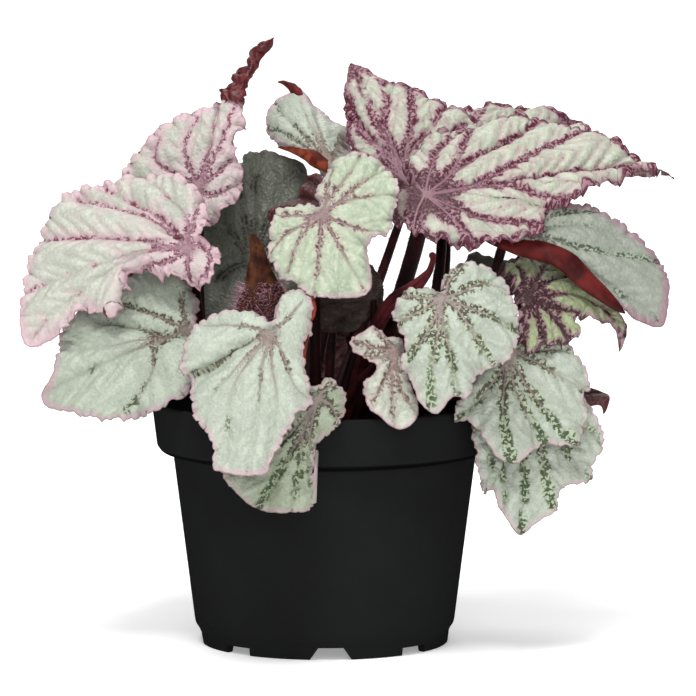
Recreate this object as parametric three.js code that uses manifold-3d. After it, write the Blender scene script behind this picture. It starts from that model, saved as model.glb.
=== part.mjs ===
// Potted rex begonia in a 13 cm nursery pot. Millimetres, +Z up, the front towards -Y.
// The origin is on the pot's axis, at the level of the ground that the pot stands on.
import * as THREE from 'three';
import { mergeVertices } from 'three/addons/utils/BufferGeometryUtils.js';
import Module from 'manifold-3d';

const wasm = await Module();
wasm.setup();

// Driving dimensions of the pot
const RIM_RADIUS = 65;
const RIM_TOP = 92;
const BAND_BOTTOM = 74;
const WALL = 1.6;
const BASE_RADIUS = 49;
const FOOT_RADIUS = 46.5;
const FOOT_HEIGHT = 5;
const FOOT_WIDTH = 4;
const PAD_RADIUS = 12;
const DRAIN_RADIUS = 4;
const DRAIN_CIRCLE = 30;
const DRAIN_COUNT = 6;
const NOTCH_COUNT = 4;
const WIDE_NOTCH = { width: 17, height: 4.6, turn: 3 };
const NARROW_NOTCH = { width: 12, height: 3, turn: 46 };
const POT_SIDES = 48;

// Driving dimensions of what grows in it
const MIX_TOP = 80;
const MIX_SIDES = 30;
const CLEARANCE = 0.35;
const HOLE_CLEARANCE = 0.5;
const BLADE_THICKNESS = 0.8;
const BLADE_RINGS = [0.45, 0.8, 1];
const RIM_STEP = 13;
const TOOTH_DEPTH = 0.04;
const ROLL_SIDES = 6;
const STALK_ROOT_DEPTH = 8;
const STALK_SIDES = 6;
const STALK_STATIONS = 6;
const STALK_RADII = [2.4, 1.7];
const STALK_LEAN = 0.25;
const STALK_RISE = 0.45;
const STALK_APPROACH = 0.3;
const STALK_TOP_GAP = 0.4;
const HANG_ANGLE = THREE.MathUtils.degToRad(20);

// The viewpoint that the leaf outlines are drawn from, with its focal length in picture units
const EYE = new THREE.Vector3(8.8, -2400, 393);
const EYE_TILT = THREE.MathUtils.degToRad(6.7);
const FOCAL_LENGTH = 6433;
const PICTURE_CENTRE = 348;

const COLOURS = {
  pot: { color: 0x17181a, roughness: 0.5 },
  mix: { color: 0x1b120d, roughness: 0.95 },
  rhizome: { color: 0x5a3324, roughness: 0.85 },
  stalk: { color: 0x5a1a1e, roughness: 0.6 },
  mint: { color: 0xbccab4, roughness: 0.5 },
  pink: { color: 0xd3b3bd, roughness: 0.5 },
  shade: { color: 0x78837a, roughness: 0.55 },
  red: { color: 0x6d1d20, roughness: 0.5 },
};

// Every leaf: its joint is where the stalk meets the blade, as [picture x, picture y, depth y];
// face is the way the upper side looks; dome lifts the joint above the rim; ruffle is the height
// of the rim's waves; the outline starts at the tip and goes round as [picture x, picture y] or
// with a lift in mm off the leaf's own plane; root is where the stalk stands in the mix.
// Some leaves also have: arrive, the way the stalk runs where it meets the blade; lean, how far
// it leans over above its root, and rise, the share of its length that this takes; stalk, its
// radius at the root and at the top; stop, how much lower it ends; rolled, the part of the rim
// that is rolled up, by its first and last outline point, and the roll's radii
const LEAVES = [
  {
    name: 'top_left', colour: 'pink', joint: [197, 187, 16], face: [-0.2, -0.93, 0.3], dome: 5,
    ruffle: 1.6, waves: 8, root: [-36, 10],
    lean: [-16, 4],
    rise: 0.2,
    outline: [
      [273, 39, -4], [262, 62, -3], [251, 86, -2], [244, 106], [245, 129], [237, 145], [244, 176],
      [241, 198], [224, 215], [207, 228], [194, 204, 2], [178, 224], [150, 222, -2],
      [128, 203, -1], [122, 172], [140, 148], [161, 127], [190, 111], [214, 104], [222, 92, -2],
      [240, 70, -3], [258, 48, -4],
    ],
  },
  {
    name: 'left', colour: 'pink', joint: [185, 243, -30], face: [-0.25, -0.78, 0.57], dome: 7,
    ruffle: 1.5, waves: 9, root: [-36, 2],
    arrive: [-0.1, -0.8, 0.6],
    lean: [-9, 0],
    rise: 0.2,
    outline: [
      [27, 346, -6], [22, 308, -3], [36, 245], [60, 201], [106, 184], [134, 176], [179, 176],
      [205, 199], [209, 222], [198, 239, 2], [221, 258], [201, 288, -3], [188, 290], [156, 278],
      [143, 287], [126, 302, -3], [110, 314, -3], [80, 317, -4], [54, 326, -5],
    ],
  },
  {
    name: 'left_low', colour: 'mint', joint: [188, 330, -31], face: [-0.2, -0.8, 0.57], dome: 5,
    ruffle: 1.2, waves: 7, root: [-31, -5],
    arrive: [-0.15, -0.85, 0.5],
    outline: [
      [41, 399, -4], [53, 374], [57, 350], [60, 332], [72, 316], [102, 302], [150, 290],
      [183, 291], [199, 308], [197, 327, 3], [199, 345], [188, 368, -2], [170, 399, -3],
      [143, 416, -4], [116, 423, -4], [74, 416, -4],
    ],
  },
  {
    name: 'front_left', colour: 'mint', joint: [271, 333, -64], face: [-0.05, -0.86, 0.5],
    dome: 6, ruffle: 1.2, waves: 8, root: [-12, -22],
    outline: [
      [247, 478], [214, 468], [210, 443], [192, 416], [188, 385], [179, 372], [183, 350],
      [194, 325], [234, 311], [260, 313], [272, 322, 3], [276, 305], [288, 293], [310, 300],
      [312, 330], [305, 352], [309, 379], [314, 401], [297, 421], [275, 457], [263, 475],
    ],
  },
  {
    name: 'front_low', colour: 'mint', joint: [318, 399, -68], face: [0.05, -0.98, 0.2],
    dome: 3, ruffle: 1, waves: 7, root: [-3, -31],
    outline: [
      [257, 509], [234, 492], [219, 470], [240, 445], [268, 420], [292, 396], [306, 380],
      [316, 384, 2], [330, 376], [346, 392], [347, 408], [335, 432], [321, 441], [316, 463],
      [317, 486], [315, 508], [286, 514],
    ],
  },
  {
    name: 'centre', colour: 'mint', joint: [322, 214, -44], face: [-0.05, -0.9, 0.42], dome: 6,
    ruffle: 1.4, waves: 9, root: [-3, -14],
    outline: [
      [369, 295], [342, 297], [315, 300], [292, 284], [276, 275], [267, 254], [267, 242],
      [276, 212], [293, 206], [307, 203], [317, 206, 3], [315, 196], [322, 178], [334, 162],
      [359, 152], [387, 166], [401, 191], [395, 212], [389, 235], [368, 246], [370, 271],
    ],
  },
  {
    name: 'shade_left', colour: 'shade', joint: [250, 262, 34], face: [-0.1, -0.93, 0.35],
    dome: 3, ruffle: 0.8, waves: 5, root: [-9, 10],
    outline: [
      [306, 167], [284, 156], [265, 149], [246, 153], [234, 168], [226, 190], [214, 215],
      [204, 240], [197, 268], [195, 296], [200, 320], [226, 328], [248, 316], [254, 292, 2],
      [266, 318], [288, 314], [302, 290], [306, 250], [306, 215], [307, 190],
    ],
  },
  {
    name: 'top_centre', colour: 'mint', joint: [331, 166, 24], face: [-0.25, -0.87, 0.43],
    dome: 8, ruffle: 0.8, waves: 5, root: [1, 7],
    arrive: [-0.2, -0.9, 0.35],
    stalk: [2.2, 1.2],
    stop: 3.4,
    rolled: { from: 7, to: 10, radii: [0.5, 2, 2.4, 0.8] },
    outline: [
      [300, 90, -4], [290, 94, -3], [281, 96, -3], [272, 104, -4], [267, 115, -5],
      [266, 129, -5], [270, 138, -4], [276, 144, -4], [300, 157, -3], [314, 165, -1],
      [321, 176], [333, 185, 1], [345, 182, -3], [356, 168, -14], [352, 146, -16],
      [348, 128, -15], [333, 122, -11], [323, 112, -8], [314, 106, -6], [306, 95, -4],
    ],
  },
  {
    name: 'shade_centre', colour: 'red', joint: [330, 206, -4], face: [-0.15, -0.8, 0.58],
    dome: 3, ruffle: 1, waves: 6, root: [-6, -3],
    outline: [
      [267, 216], [282, 204], [298, 196], [303, 184], [308, 175], [320, 175], [340, 184],
      [352, 202], [349, 226], [334, 238], [318, 236], [296, 235], [278, 228],
    ],
  },
  {
    name: 'top_right', colour: 'pink', joint: [411, 185, 4], face: [-0.05, -0.82, 0.57],
    dome: 6, ruffle: 1.4, waves: 8, root: [3, -4],
    arrive: [0.25, -0.45, 0.86],
    lean: [0, -2],
    rise: 0.2,
    stalk: [2.2, 1.5],
    outline: [
      [352, 63, -3], [346, 82], [343, 105], [345, 126], [350, 150], [366, 168], [384, 186],
      [398, 200, 2], [408, 196, 4], [420, 200, 3], [437, 186], [462, 166], [484, 142], [482, 124],
      [464, 112], [449, 104], [421, 91], [386, 80],
    ],
  },
  {
    name: 'right', colour: 'pink', joint: [425, 195, -26], face: [0.03, -0.64, 0.77], dome: 7,
    ruffle: 1.6, waves: 11, root: [10, -2],
    arrive: [0.1, -0.35, 0.93],
    lean: [4, 10],
    rise: 0.2,
    stalk: [3.4, 3],
    outline: [
      [674, 173, -8], [660, 170, -5], [648, 162, -3], [611, 141], [567, 126], [534, 120],
      [482, 122], [450, 130], [428, 141], [412, 154], [402, 171], [410, 188, 2], [396, 196],
      [393, 218], [411, 236], [445, 243], [482, 251], [515, 241], [545, 232], [548, 212],
      [572, 204], [601, 188], [628, 178], [652, 173, -4],
    ],
  },
  {
    name: 'right_behind', colour: 'pink', joint: [440, 166, 26], face: [0.08, -0.72, 0.69],
    dome: 4, ruffle: 1.3, waves: 8, root: [20, 7],
    arrive: [-0.05, -0.5, 0.86],
    lean: [28, -2],
    rise: 0.5,
    outline: [
      [584, 123, -3], [567, 116], [536, 108], [505, 105], [483, 105], [462, 110], [444, 124],
      [430, 140], [424, 158], [432, 167, 2], [426, 180], [444, 194], [478, 196], [520, 186],
      [560, 166], [590, 146],
    ],
  },
  {
    name: 'right_pale', colour: 'mint', joint: [508, 222, -24], face: [0.22, -0.88, 0.42],
    dome: 5, ruffle: 0.8, waves: 6, root: [20, -2],
    arrive: [0.1, -0.5, 0.86],
    lean: [24, -8],
    rise: 0.2,
    rolled: { from: 1, to: 7, radii: [0.5, 1.6, 3.4, 4.2, 4.2, 3.6, 1.2] },
    outline: [
      [657, 324, -3], [640, 323, -2], [622, 312], [600, 297], [580, 283], [560, 270],
      [540, 258], [520, 250], [505, 246], [490, 243], [478, 236], [474, 226], [484, 222, 2],
      [480, 208], [498, 196], [530, 198], [560, 203], [589, 205], [622, 223], [651, 247],
      [662, 268], [666, 290], [668, 306],
    ],
  },
  {
    name: 'right_ruffled', colour: 'pink', joint: [526, 299, -34], face: [0.3, -0.62, 0.72],
    dome: 6, ruffle: 1.6, waves: 11, root: [18, -10],
    lean: [4, -2],
    rise: 0.3,
    outline: [
      [620, 348, -8], [612, 330, -4], [596, 326, -3], [574, 324, -2], [580, 336, -3],
      [558, 346, -3], [536, 352, -3], [520, 349, -2], [514, 330], [516, 304, 4], [507, 290],
      [500, 272], [516, 260], [545, 258], [575, 270], [604, 296], [624, 324, -4],
    ],
  },
  {
    name: 'shade_right', colour: 'shade', joint: [522, 276, 16], face: [0.15, -0.86, 0.48],
    dome: 3, ruffle: 0.8, waves: 5, root: [14, 8],
    lean: [4, 4],
    rise: 0.3,
    outline: [
      [607, 288], [585, 272], [560, 260], [533, 254], [511, 257], [491, 257], [474, 252],
      [464, 262], [468, 282], [482, 300], [504, 304], [518, 288, 2], [534, 302], [562, 308],
      [590, 304],
    ],
  },
  {
    name: 'front_right', colour: 'mint', joint: [441, 298, -60], face: [0.02, -0.92, 0.38],
    dome: 6, ruffle: 1.2, waves: 8, root: [9, -21],
    outline: [
      [436, 414], [418, 402], [413, 386], [400, 362], [403, 339], [397, 330], [392, 316],
      [395, 300], [407, 289], [427, 286], [441, 291, 3], [440, 279], [452, 267], [465, 262],
      [485, 265], [505, 280], [513, 297], [521, 320], [518, 343], [510, 361], [492, 371],
      [478, 375], [467, 401], [454, 397],
    ],
  },
  {
    name: 'right_low', colour: 'mint', joint: [511, 352, -38], face: [0.15, -0.9, 0.42],
    dome: 6, ruffle: 1, waves: 8, root: [18, -19],
    outline: [
      [516, 465], [496, 456], [485, 443], [469, 424], [452, 421], [456, 403], [472, 388],
      [483, 366], [490, 344], [506, 340, 2], [520, 334], [545, 334], [567, 342], [583, 365],
      [592, 388], [584, 396], [588, 414], [583, 434], [577, 448], [552, 446], [534, 450],
    ],
  },
  {
    name: 'right_lowest', colour: 'mint', joint: [529, 398, -34], face: [0.22, -0.94, 0.26],
    dome: 3, ruffle: 1, waves: 8, root: [24, -12],
    arrive: [0.6, -0.75, 0.2],
    rise: 0.5,
    outline: [
      [519, 536], [501, 512], [490, 491], [483, 496], [476, 468], [472, 448], [469, 426],
      [480, 402], [502, 384], [526, 387, 2], [552, 384], [578, 392], [598, 419], [606, 443],
      [595, 463], [590, 483], [563, 489], [556, 512], [534, 525],
    ],
  },
  {
    name: 'small_curly', colour: 'mint', joint: [396, 351, -55], face: [0.1, -0.9, 0.43],
    dome: 3, ruffle: 1, waves: 6, root: [2, -24],
    stalk: [2, 1.2],
    outline: [
      [400, 430], [385, 421], [367, 408], [364, 380], [376, 368, 3], [359, 358], [349, 339],
      [362, 332], [376, 325], [386, 335], [400, 337], [405, 352], [406, 368], [412, 388],
      [419, 408], [413, 424],
    ],
  },
  {
    name: 'red_curl', colour: 'red', joint: [556, 396, -12], face: [0.2, -0.9, 0.38], dome: 3,
    ruffle: 0.8, waves: 5, root: [24, 2],
    arrive: [0.75, -0.6, 0.1],
    rise: 0.55,
    stalk: [2, 1.2],
    stop: 1.2,
    outline: [
      [604, 414, 6], [598, 408, 3], [580, 412], [562, 412], [546, 404, 1], [547, 388, 1],
      [566, 380], [582, 387, 1], [594, 389, 3], [607, 393, 4], [609, 403, 6],
    ],
  },
  {
    name: 'shade_middle', colour: 'red', joint: [374, 298, -10], face: [0.1, 0.8, 0.6], dome: 3,
    ruffle: 0.8, waves: 5, root: [14, -14],
    arrive: [0, 0.3, 0.95],
    lean: [3, -1],
    stalk: [2, 1.2],
    stop: -0.8,
    outline: [
      [318, 327], [334, 334], [354, 330], [370, 318, 2], [380, 308, 3], [385, 290], [379, 274],
      [368, 262], [350, 266], [332, 280], [316, 300],
    ],
  },
  {
    name: 'back_left', colour: 'mint', joint: [170, 213, 60], face: [-0.45, 0.58, 0.68], dome: 5,
    ruffle: 1.2, waves: 7, root: [-24, 19],
    lean: [-6, 12],
    stop: 0.4,
    outline: [
      [102, 298], [82, 270], [90, 230], [116, 203], [148, 192], [178, 194], [180, 210, 2],
      [190, 230], [184, 262], [160, 282], [130, 298],
    ],
  },
  {
    name: 'back_left_low', colour: 'mint', joint: [158, 338, 44], face: [-0.5, 0.56, 0.66],
    dome: 5, ruffle: 1.2, waves: 7, root: [-24, 9],
    outline: [
      [76, 394], [66, 370], [84, 345], [112, 325], [142, 316], [166, 322], [166, 336, 4],
      [172, 352], [160, 382], [138, 400], [108, 406],
    ],
  },
  {
    name: 'back_centre', colour: 'mint', joint: [300, 238, 76], face: [-0.1, 0.93, 0.35], dome: 5,
    ruffle: 1.2, waves: 7, root: [-6, 21],
    outline: [
      [262, 168], [284, 178], [304, 198], [326, 208], [346, 226], [346, 250], [330, 272],
      [306, 276], [300, 250, 2], [282, 266], [256, 266], [240, 246], [236, 214], [246, 186],
    ],
  },
  {
    name: 'back_right_upper', colour: 'pink', joint: [446, 192, 78], face: [0.15, 0.85, 0.5],
    dome: 5, ruffle: 1.2, waves: 8, root: [17, 17],
    arrive: [0, 0.85, 0.5],
    lean: [32, 4],
    rise: 0.2,
    outline: [
      [566, 156], [544, 136], [504, 124], [464, 126], [434, 142], [420, 166], [434, 190, 2],
      [428, 206], [452, 220], [492, 220], [532, 200],
    ],
  },
  {
    name: 'back_right_low', colour: 'mint', joint: [530, 378, 34], face: [0.5, 0.62, 0.6],
    dome: 5, ruffle: 1.2, waves: 7, root: [23, 12],
    arrive: [0.75, 0.6, -0.1],
    rise: 0.6,
    outline: [
      [562, 458], [582, 442], [588, 416], [580, 388], [562, 368], [538, 356], [520, 360, 2],
      [520, 376, 5], [500, 390, 2], [490, 412], [502, 434], [532, 450],
    ],
  },
  {
    name: 'back_low', colour: 'mint', joint: [350, 338, 70], face: [-0.15, 0.78, 0.6], dome: 5,
    ruffle: 1.2, waves: 7, root: [2, 25],
    outline: [
      [340, 404], [368, 402], [396, 388], [414, 360], [414, 330], [398, 306], [374, 306],
      [352, 326, 3], [330, 312], [308, 318], [298, 344], [298, 368], [314, 390],
    ],
  },
];

// The young leaf in the middle, still folded along its midrib
const YOUNG_LEAF = {
  path: [
    [8, -15, 78], [13, -22, 106], [20, -26, 124.5], [26.5, -27.5, 132.5], [33.5, -28.5, 137],
    [39.3, -29, 143], [40.3, -29.5, 147.5], [39.6, -30, 150.2],
  ],
  radii: [2.2, 2.5, 2.7, 3, 2.7, 1.5, 1.3, 0.7],
  stations: 14,
};

// The rhizome lies half sunk in the mix, thick and knobbly
const RHIZOME = {
  path: [[-27, 13, 80], [-14, 11, 83], [0, 8, 84], [14, 5, 84], [24, 3, 81]],
  radii: [4, 6, 5.5, 6.5, 5.5, 6.5, 4],
  stations: 9,
  sides: 8,
};

// The stipule is the dry scale that covered a young leaf: its path and half widths, before it is
// flattened and set at its depth
const STIPULE = {
  path: [
    [-21, 0, 80.5], [-21, 0, 106], [-22, 0, 120], [-23, 0, 131], [-23.5, 0.5, 139],
    [-24.5, 2, 147], [-27, 3, 153.4],
  ],
  radii: [4, 7, 9.5, 9, 5.5, 3.2, 0.8],
  flatness: 0.45,
  depth: -24,
  stations: 12,
  sides: 8,
};

function sightLine(x, y) {
  const right = (x - PICTURE_CENTRE) / FOCAL_LENGTH;
  const down = (y - PICTURE_CENTRE) / FOCAL_LENGTH;
  const cos = Math.cos(EYE_TILT);
  const sin = Math.sin(EYE_TILT);
  return new THREE.Vector3(right, cos - down * sin, -sin - down * cos);
}

function atDepth([x, y, depth]) {
  const line = sightLine(x, y);
  return EYE.clone().addScaledVector(line, (depth - EYE.y) / line.y);
}

function onPlane(x, y, point, normal) {
  const line = sightLine(x, y);
  const distance = point.clone().sub(EYE).dot(normal) / line.dot(normal);
  return EYE.clone().addScaledVector(line, distance);
}

// The rim of a blade as a closed curve, with the share of its length at every outline point
function rimCurve(leaf, centre, normal) {
  const points = leaf.outline.map(([x, y, lift = 0]) => {
    const plane = centre.clone().addScaledVector(normal, lift);
    return onPlane(x, y, plane, normal);
  });
  const area = new THREE.Vector3();
  points.forEach((point, i) => {
    const next = points[(i + 1) % points.length].clone().sub(centre);
    area.add(point.clone().sub(centre).cross(next));
  });
  const anticlockwise = area.dot(normal) > 0;
  const curve = new THREE.CatmullRomCurve3(points, true, 'centripetal');
  const spokes = [];
  points.forEach((point, i) => {
    const side = point.distanceTo(points[(i + 1) % points.length]);
    const steps = Math.max(1, Math.round(side / RIM_STEP));
    for (let j = 0; j < steps; j += 1) {
      spokes.push({ u: (i + j / steps) / points.length, notched: j % 2 === 1 });
    }
  });
  return { curve, anticlockwise, spokes };
}

// The middle surface of a blade: on one spoke, share s of the way from the joint to the rim
function bladePoint(leaf, rim, centre, normal, { u, notched }, s) {
  const edge = rim.curve.getPoint(u).sub(centre);
  const wave = Math.sin(2 * Math.PI * leaf.waves * u + leaf.outline.length)
    + 0.5 * Math.sin(2 * Math.PI * (leaf.waves * 1.7 + 1) * u);
  const rise = leaf.dome * (1 - s * s) + leaf.ruffle * wave * s * s * s;
  const reach = s * (notched ? 1 - TOOTH_DEPTH : 1);
  return centre.clone().addScaledVector(edge, reach).addScaledVector(normal, rise);
}

// A blade is a polar net from joint to rim, doubled to its thickness, with alike triangles
function bladeGeometry(leaf, rim, centre, normal) {
  const spokes = rim.spokes.length;
  const middle = [bladePoint(leaf, rim, centre, normal, rim.spokes[0], 0)];
  for (const s of BLADE_RINGS) {
    rim.spokes.forEach((spoke) => middle.push(bladePoint(leaf, rim, centre, normal, spoke, s)));
  }
  const at = (ring, k) => 1 + ring * spokes + (k % spokes);
  const top = [];
  for (let k = 0; k < spokes; k += 1) {
    top.push([0, at(0, k), at(0, k + 1)]);
    for (let ring = 0; ring < BLADE_RINGS.length - 1; ring += 1) {
      const [a, b] = [at(ring, k), at(ring, k + 1)];
      const [c, d] = [at(ring + 1, k), at(ring + 1, k + 1)];
      top.push([a, c, d], [a, d, b]);
    }
  }
  const faces = rim.anticlockwise ? top : top.map(([a, b, c]) => [a, c, b]);
  const normals = vertexNormals(middle, faces);
  const positions = [];
  for (const side of [0.5, -0.5]) {
    middle.forEach((point, i) => {
      positions.push(...point.clone().addScaledVector(normals[i], side * BLADE_THICKNESS));
    });
  }
  const under = middle.length;
  const index = faces.flat();
  faces.forEach(([a, b, c]) => index.push(under + a, under + c, under + b));
  const last = BLADE_RINGS.length - 1;
  for (let k = 0; k < spokes; k += 1) {
    const pair = [at(last, k), at(last, k + 1)];
    const [a, b] = rim.anticlockwise ? pair : pair.reverse();
    index.push(a, under + a, under + b, a, under + b, b);
  }
  return indexed(positions, index);
}

function vertexNormals(points, faces) {
  const normals = points.map(() => new THREE.Vector3());
  for (const [a, b, c] of faces) {
    const ab = points[b].clone().sub(points[a]);
    const cross = ab.cross(points[c].clone().sub(points[a]));
    [a, b, c].forEach((i) => normals[i].add(cross));
  }
  return normals.map((normal) => normal.normalize());
}

function indexed(positions, index) {
  const geometry = new THREE.BufferGeometry();
  geometry.setAttribute('position', new THREE.Float32BufferAttribute(positions, 3));
  geometry.setIndex(index);
  return geometry;
}

// A round stem along a curve, its radius given at evenly spaced stations, closed at both ends
function stemGeometry(curve, radii, stations, sides, extra = 0) {
  const rings = [];
  const frames = curve.computeFrenetFrames(stations, false);
  for (let i = 0; i <= stations; i += 1) {
    const along = (i / stations) * (radii.length - 1);
    const j = Math.min(Math.floor(along), radii.length - 2);
    const radius = THREE.MathUtils.lerp(radii[j], radii[j + 1], along - j) + extra;
    const middle = curve.getPoint(i / stations);
    for (let k = 0; k < sides; k += 1) {
      const angle = (2 * Math.PI * k) / sides;
      rings.push(...middle.clone()
        .addScaledVector(frames.normals[i], radius * Math.cos(angle))
        .addScaledVector(frames.binormals[i], radius * Math.sin(angle)));
    }
  }
  const index = [];
  for (let i = 0; i < stations; i += 1) {
    for (let k = 0; k < sides; k += 1) {
      const [a, b] = [i * sides + k, i * sides + ((k + 1) % sides)];
      index.push(a, b, b + sides, a, b + sides, a + sides);
    }
  }
  for (let k = 1; k < sides - 1; k += 1) {
    index.push(0, k + 1, k);
    index.push(stations * sides, stations * sides + k, stations * sides + k + 1);
  }
  return indexed(rings, index);
}

// A rolled margin is a stem that follows the rim and lies on the blade
function rolledMargin({ rolled, outline }, rim, normal) {
  const points = rolled.radii.map((radius, i) => {
    const share = i / (rolled.radii.length - 1);
    const place = THREE.MathUtils.lerp(rolled.from, rolled.to, share);
    return rim.curve.getPoint(place / outline.length).addScaledVector(normal, radius / 2);
  });
  const curve = new THREE.CatmullRomCurve3(points);
  return stemGeometry(curve, rolled.radii, points.length - 1, ROLL_SIDES);
}

// The way the stalk runs where it meets the blade
function arrivalOf(leaf, joint, normal, tip) {
  if (leaf.arrive) return new THREE.Vector3(...leaf.arrive).normalize();
  const forward = tip.clone().sub(joint);
  forward.addScaledVector(normal, -forward.dot(normal)).normalize();
  return normal.clone().multiplyScalar(Math.cos(HANG_ANGLE))
    .addScaledVector(forward, Math.sin(HANG_ANGLE));
}

// The stalk's curve, from its root in the mix up to just under the blade
function stalkCurve(leaf, joint, normal, tip) {
  const arrival = arrivalOf(leaf, joint, normal, tip);
  const square = arrival.dot(normal);
  const tilt = Math.sqrt(1 - square * square);
  const [, topRadius] = leaf.stalk ?? STALK_RADII;
  const room = BLADE_THICKNESS / 2 + CLEARANCE + STALK_TOP_GAP + topRadius * tilt;
  const end = joint.clone().addScaledVector(arrival, -(leaf.stop ?? 0) - room / square);
  const root = new THREE.Vector3(...leaf.root, MIX_TOP - STALK_ROOT_DEPTH);
  const span = end.distanceTo(root);
  const [leanX, leanY] = leaf.lean ?? leaf.root.map((place) => place * STALK_LEAN);
  const rise = root.clone().add(new THREE.Vector3(leanX, leanY, (leaf.rise ?? STALK_RISE) * span));
  const approach = end.clone().addScaledVector(arrival, -STALK_APPROACH * span);
  return new THREE.CubicBezierCurve3(root, rise, approach, end);
}

function toSolid(geometry) {
  const bare = geometry.clone();
  bare.deleteAttribute('normal');
  bare.deleteAttribute('uv');
  const merged = mergeVertices(bare, 1e-4);
  return new wasm.Manifold(new wasm.Mesh({
    numProp: 3,
    vertProperties: new Float32Array(merged.attributes.position.array),
    triVerts: new Uint32Array(merged.index.array),
  }));
}

function toGeometry(solid) {
  const mesh = solid.getMesh();
  return indexed(Array.from(mesh.vertProperties), Array.from(mesh.triVerts));
}

// A cutter for one drain hole, through the pot's floor from bottom to top
function drain(angle, bottom, top) {
  const geometry = new THREE.CylinderGeometry(DRAIN_RADIUS, DRAIN_RADIUS, top - bottom, 8);
  geometry.rotateX(Math.PI / 2);
  geometry.translate(DRAIN_CIRCLE, 0, (bottom + top) / 2);
  geometry.rotateZ(angle);
  return toSolid(geometry);
}

// A cutter for one notch in the foot ring
function notch({ width, height, turn }, degrees) {
  const geometry = new THREE.BoxGeometry(3 * FOOT_WIDTH, width, height + 1);
  geometry.translate(FOOT_RADIUS - 1, 0, (height - 1) / 2);
  geometry.rotateZ(THREE.MathUtils.degToRad(turn + degrees));
  return toSolid(geometry);
}

function lathe(profile, sides) {
  const points = profile.map(([r, z]) => new THREE.Vector2(r, z));
  const geometry = new THREE.LatheGeometry(points, sides);
  geometry.rotateX(Math.PI / 2);
  return toSolid(geometry);
}

// The pot: a foot ring with a pad in the middle, a tapering wall, and a step up to the band
function makePot() {
  const floor = FOOT_HEIGHT + WALL;
  const profile = [
    [0, 0],
    [PAD_RADIUS, 0],
    [PAD_RADIUS + 1, FOOT_HEIGHT],
    [FOOT_RADIUS - FOOT_WIDTH, FOOT_HEIGHT],
    [FOOT_RADIUS - FOOT_WIDTH + 1, 0],
    [FOOT_RADIUS, 0],
    [FOOT_RADIUS + 0.5, FOOT_HEIGHT],
    [BASE_RADIUS - 0.3, FOOT_HEIGHT + 2.6],
    [BASE_RADIUS, FOOT_HEIGHT + 4],
    [RIM_RADIUS - 8, BAND_BOTTOM - 2],
    [RIM_RADIUS - 3.5, BAND_BOTTOM - 1],
    [RIM_RADIUS - 2, BAND_BOTTOM + 1],
    [RIM_RADIUS, RIM_TOP - 1],
    [RIM_RADIUS - 0.5, RIM_TOP],
    [RIM_RADIUS - 1.5, RIM_TOP],
    [RIM_RADIUS - 2 - WALL, BAND_BOTTOM + 2],
    [RIM_RADIUS - 8 - WALL, BAND_BOTTOM - 1],
    [BASE_RADIUS - WALL, FOOT_HEIGHT + 4],
    [BASE_RADIUS - WALL - 2, floor],
    [0, floor],
  ];
  let pot = lathe(profile, POT_SIDES);
  for (let i = 0; i < NOTCH_COUNT; i += 1) {
    const degrees = (360 * i) / NOTCH_COUNT;
    pot = pot.subtract(notch(WIDE_NOTCH, degrees));
    pot = pot.subtract(notch(NARROW_NOTCH, degrees));
  }
  for (let i = 0; i < DRAIN_COUNT; i += 1) {
    const angle = (2 * Math.PI * (i + 0.5)) / DRAIN_COUNT;
    pot = pot.subtract(drain(angle, FOOT_HEIGHT - 1, floor + 1));
  }
  return pot;
}

// The mix fills the pot, with a slightly heaped and uneven top
function makeMix() {
  const floor = FOOT_HEIGHT + WALL + CLEARANCE;
  const gap = WALL + CLEARANCE;
  const profile = [
    [0, floor],
    [BASE_RADIUS - gap - 2, floor],
    [BASE_RADIUS - gap, FOOT_HEIGHT + 4],
    [RIM_RADIUS - 8 - gap, BAND_BOTTOM - 1],
    [RIM_RADIUS - 2.4 - gap, BAND_BOTTOM + 2],
    [RIM_RADIUS - 2 - gap, MIX_TOP - 2],
    [RIM_RADIUS - 12, MIX_TOP - 1],
    [RIM_RADIUS - 30, MIX_TOP],
    [0, MIX_TOP + 1],
  ];
  return lathe(profile, MIX_SIDES);
}

function curveThrough(path) {
  return new THREE.CatmullRomCurve3(path.map((point) => new THREE.Vector3(...point)));
}

function makeRhizome(extra = 0) {
  const { path, radii, stations, sides } = RHIZOME;
  return toSolid(stemGeometry(curveThrough(path), radii, stations, sides, extra));
}

function makeStipule() {
  const { path, radii, flatness, depth, stations, sides } = STIPULE;
  const geometry = stemGeometry(curveThrough(path), radii, stations, sides);
  geometry.scale(1, flatness, 1);
  geometry.translate(0, depth, 0);
  return geometry;
}

const group = new THREE.Group();

function addNode(name, geometry, colour) {
  const material = new THREE.MeshStandardMaterial({ ...COLOURS[colour], metalness: 0 });
  const mesh = new THREE.Mesh(geometry, material);
  mesh.name = name;
  group.add(mesh);
}

let rhizome = makeRhizome();
let mix = makeMix().subtract(makeRhizome(CLEARANCE));

// Opens a plain hole for a stem in the mix, and in the rhizome where the stem passes it
function openHole(curve, radii, stations) {
  const hole = toSolid(stemGeometry(curve, radii, stations, STALK_SIDES, HOLE_CLEARANCE));
  mix = mix.subtract(hole);
  rhizome = rhizome.subtract(hole);
}

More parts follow.
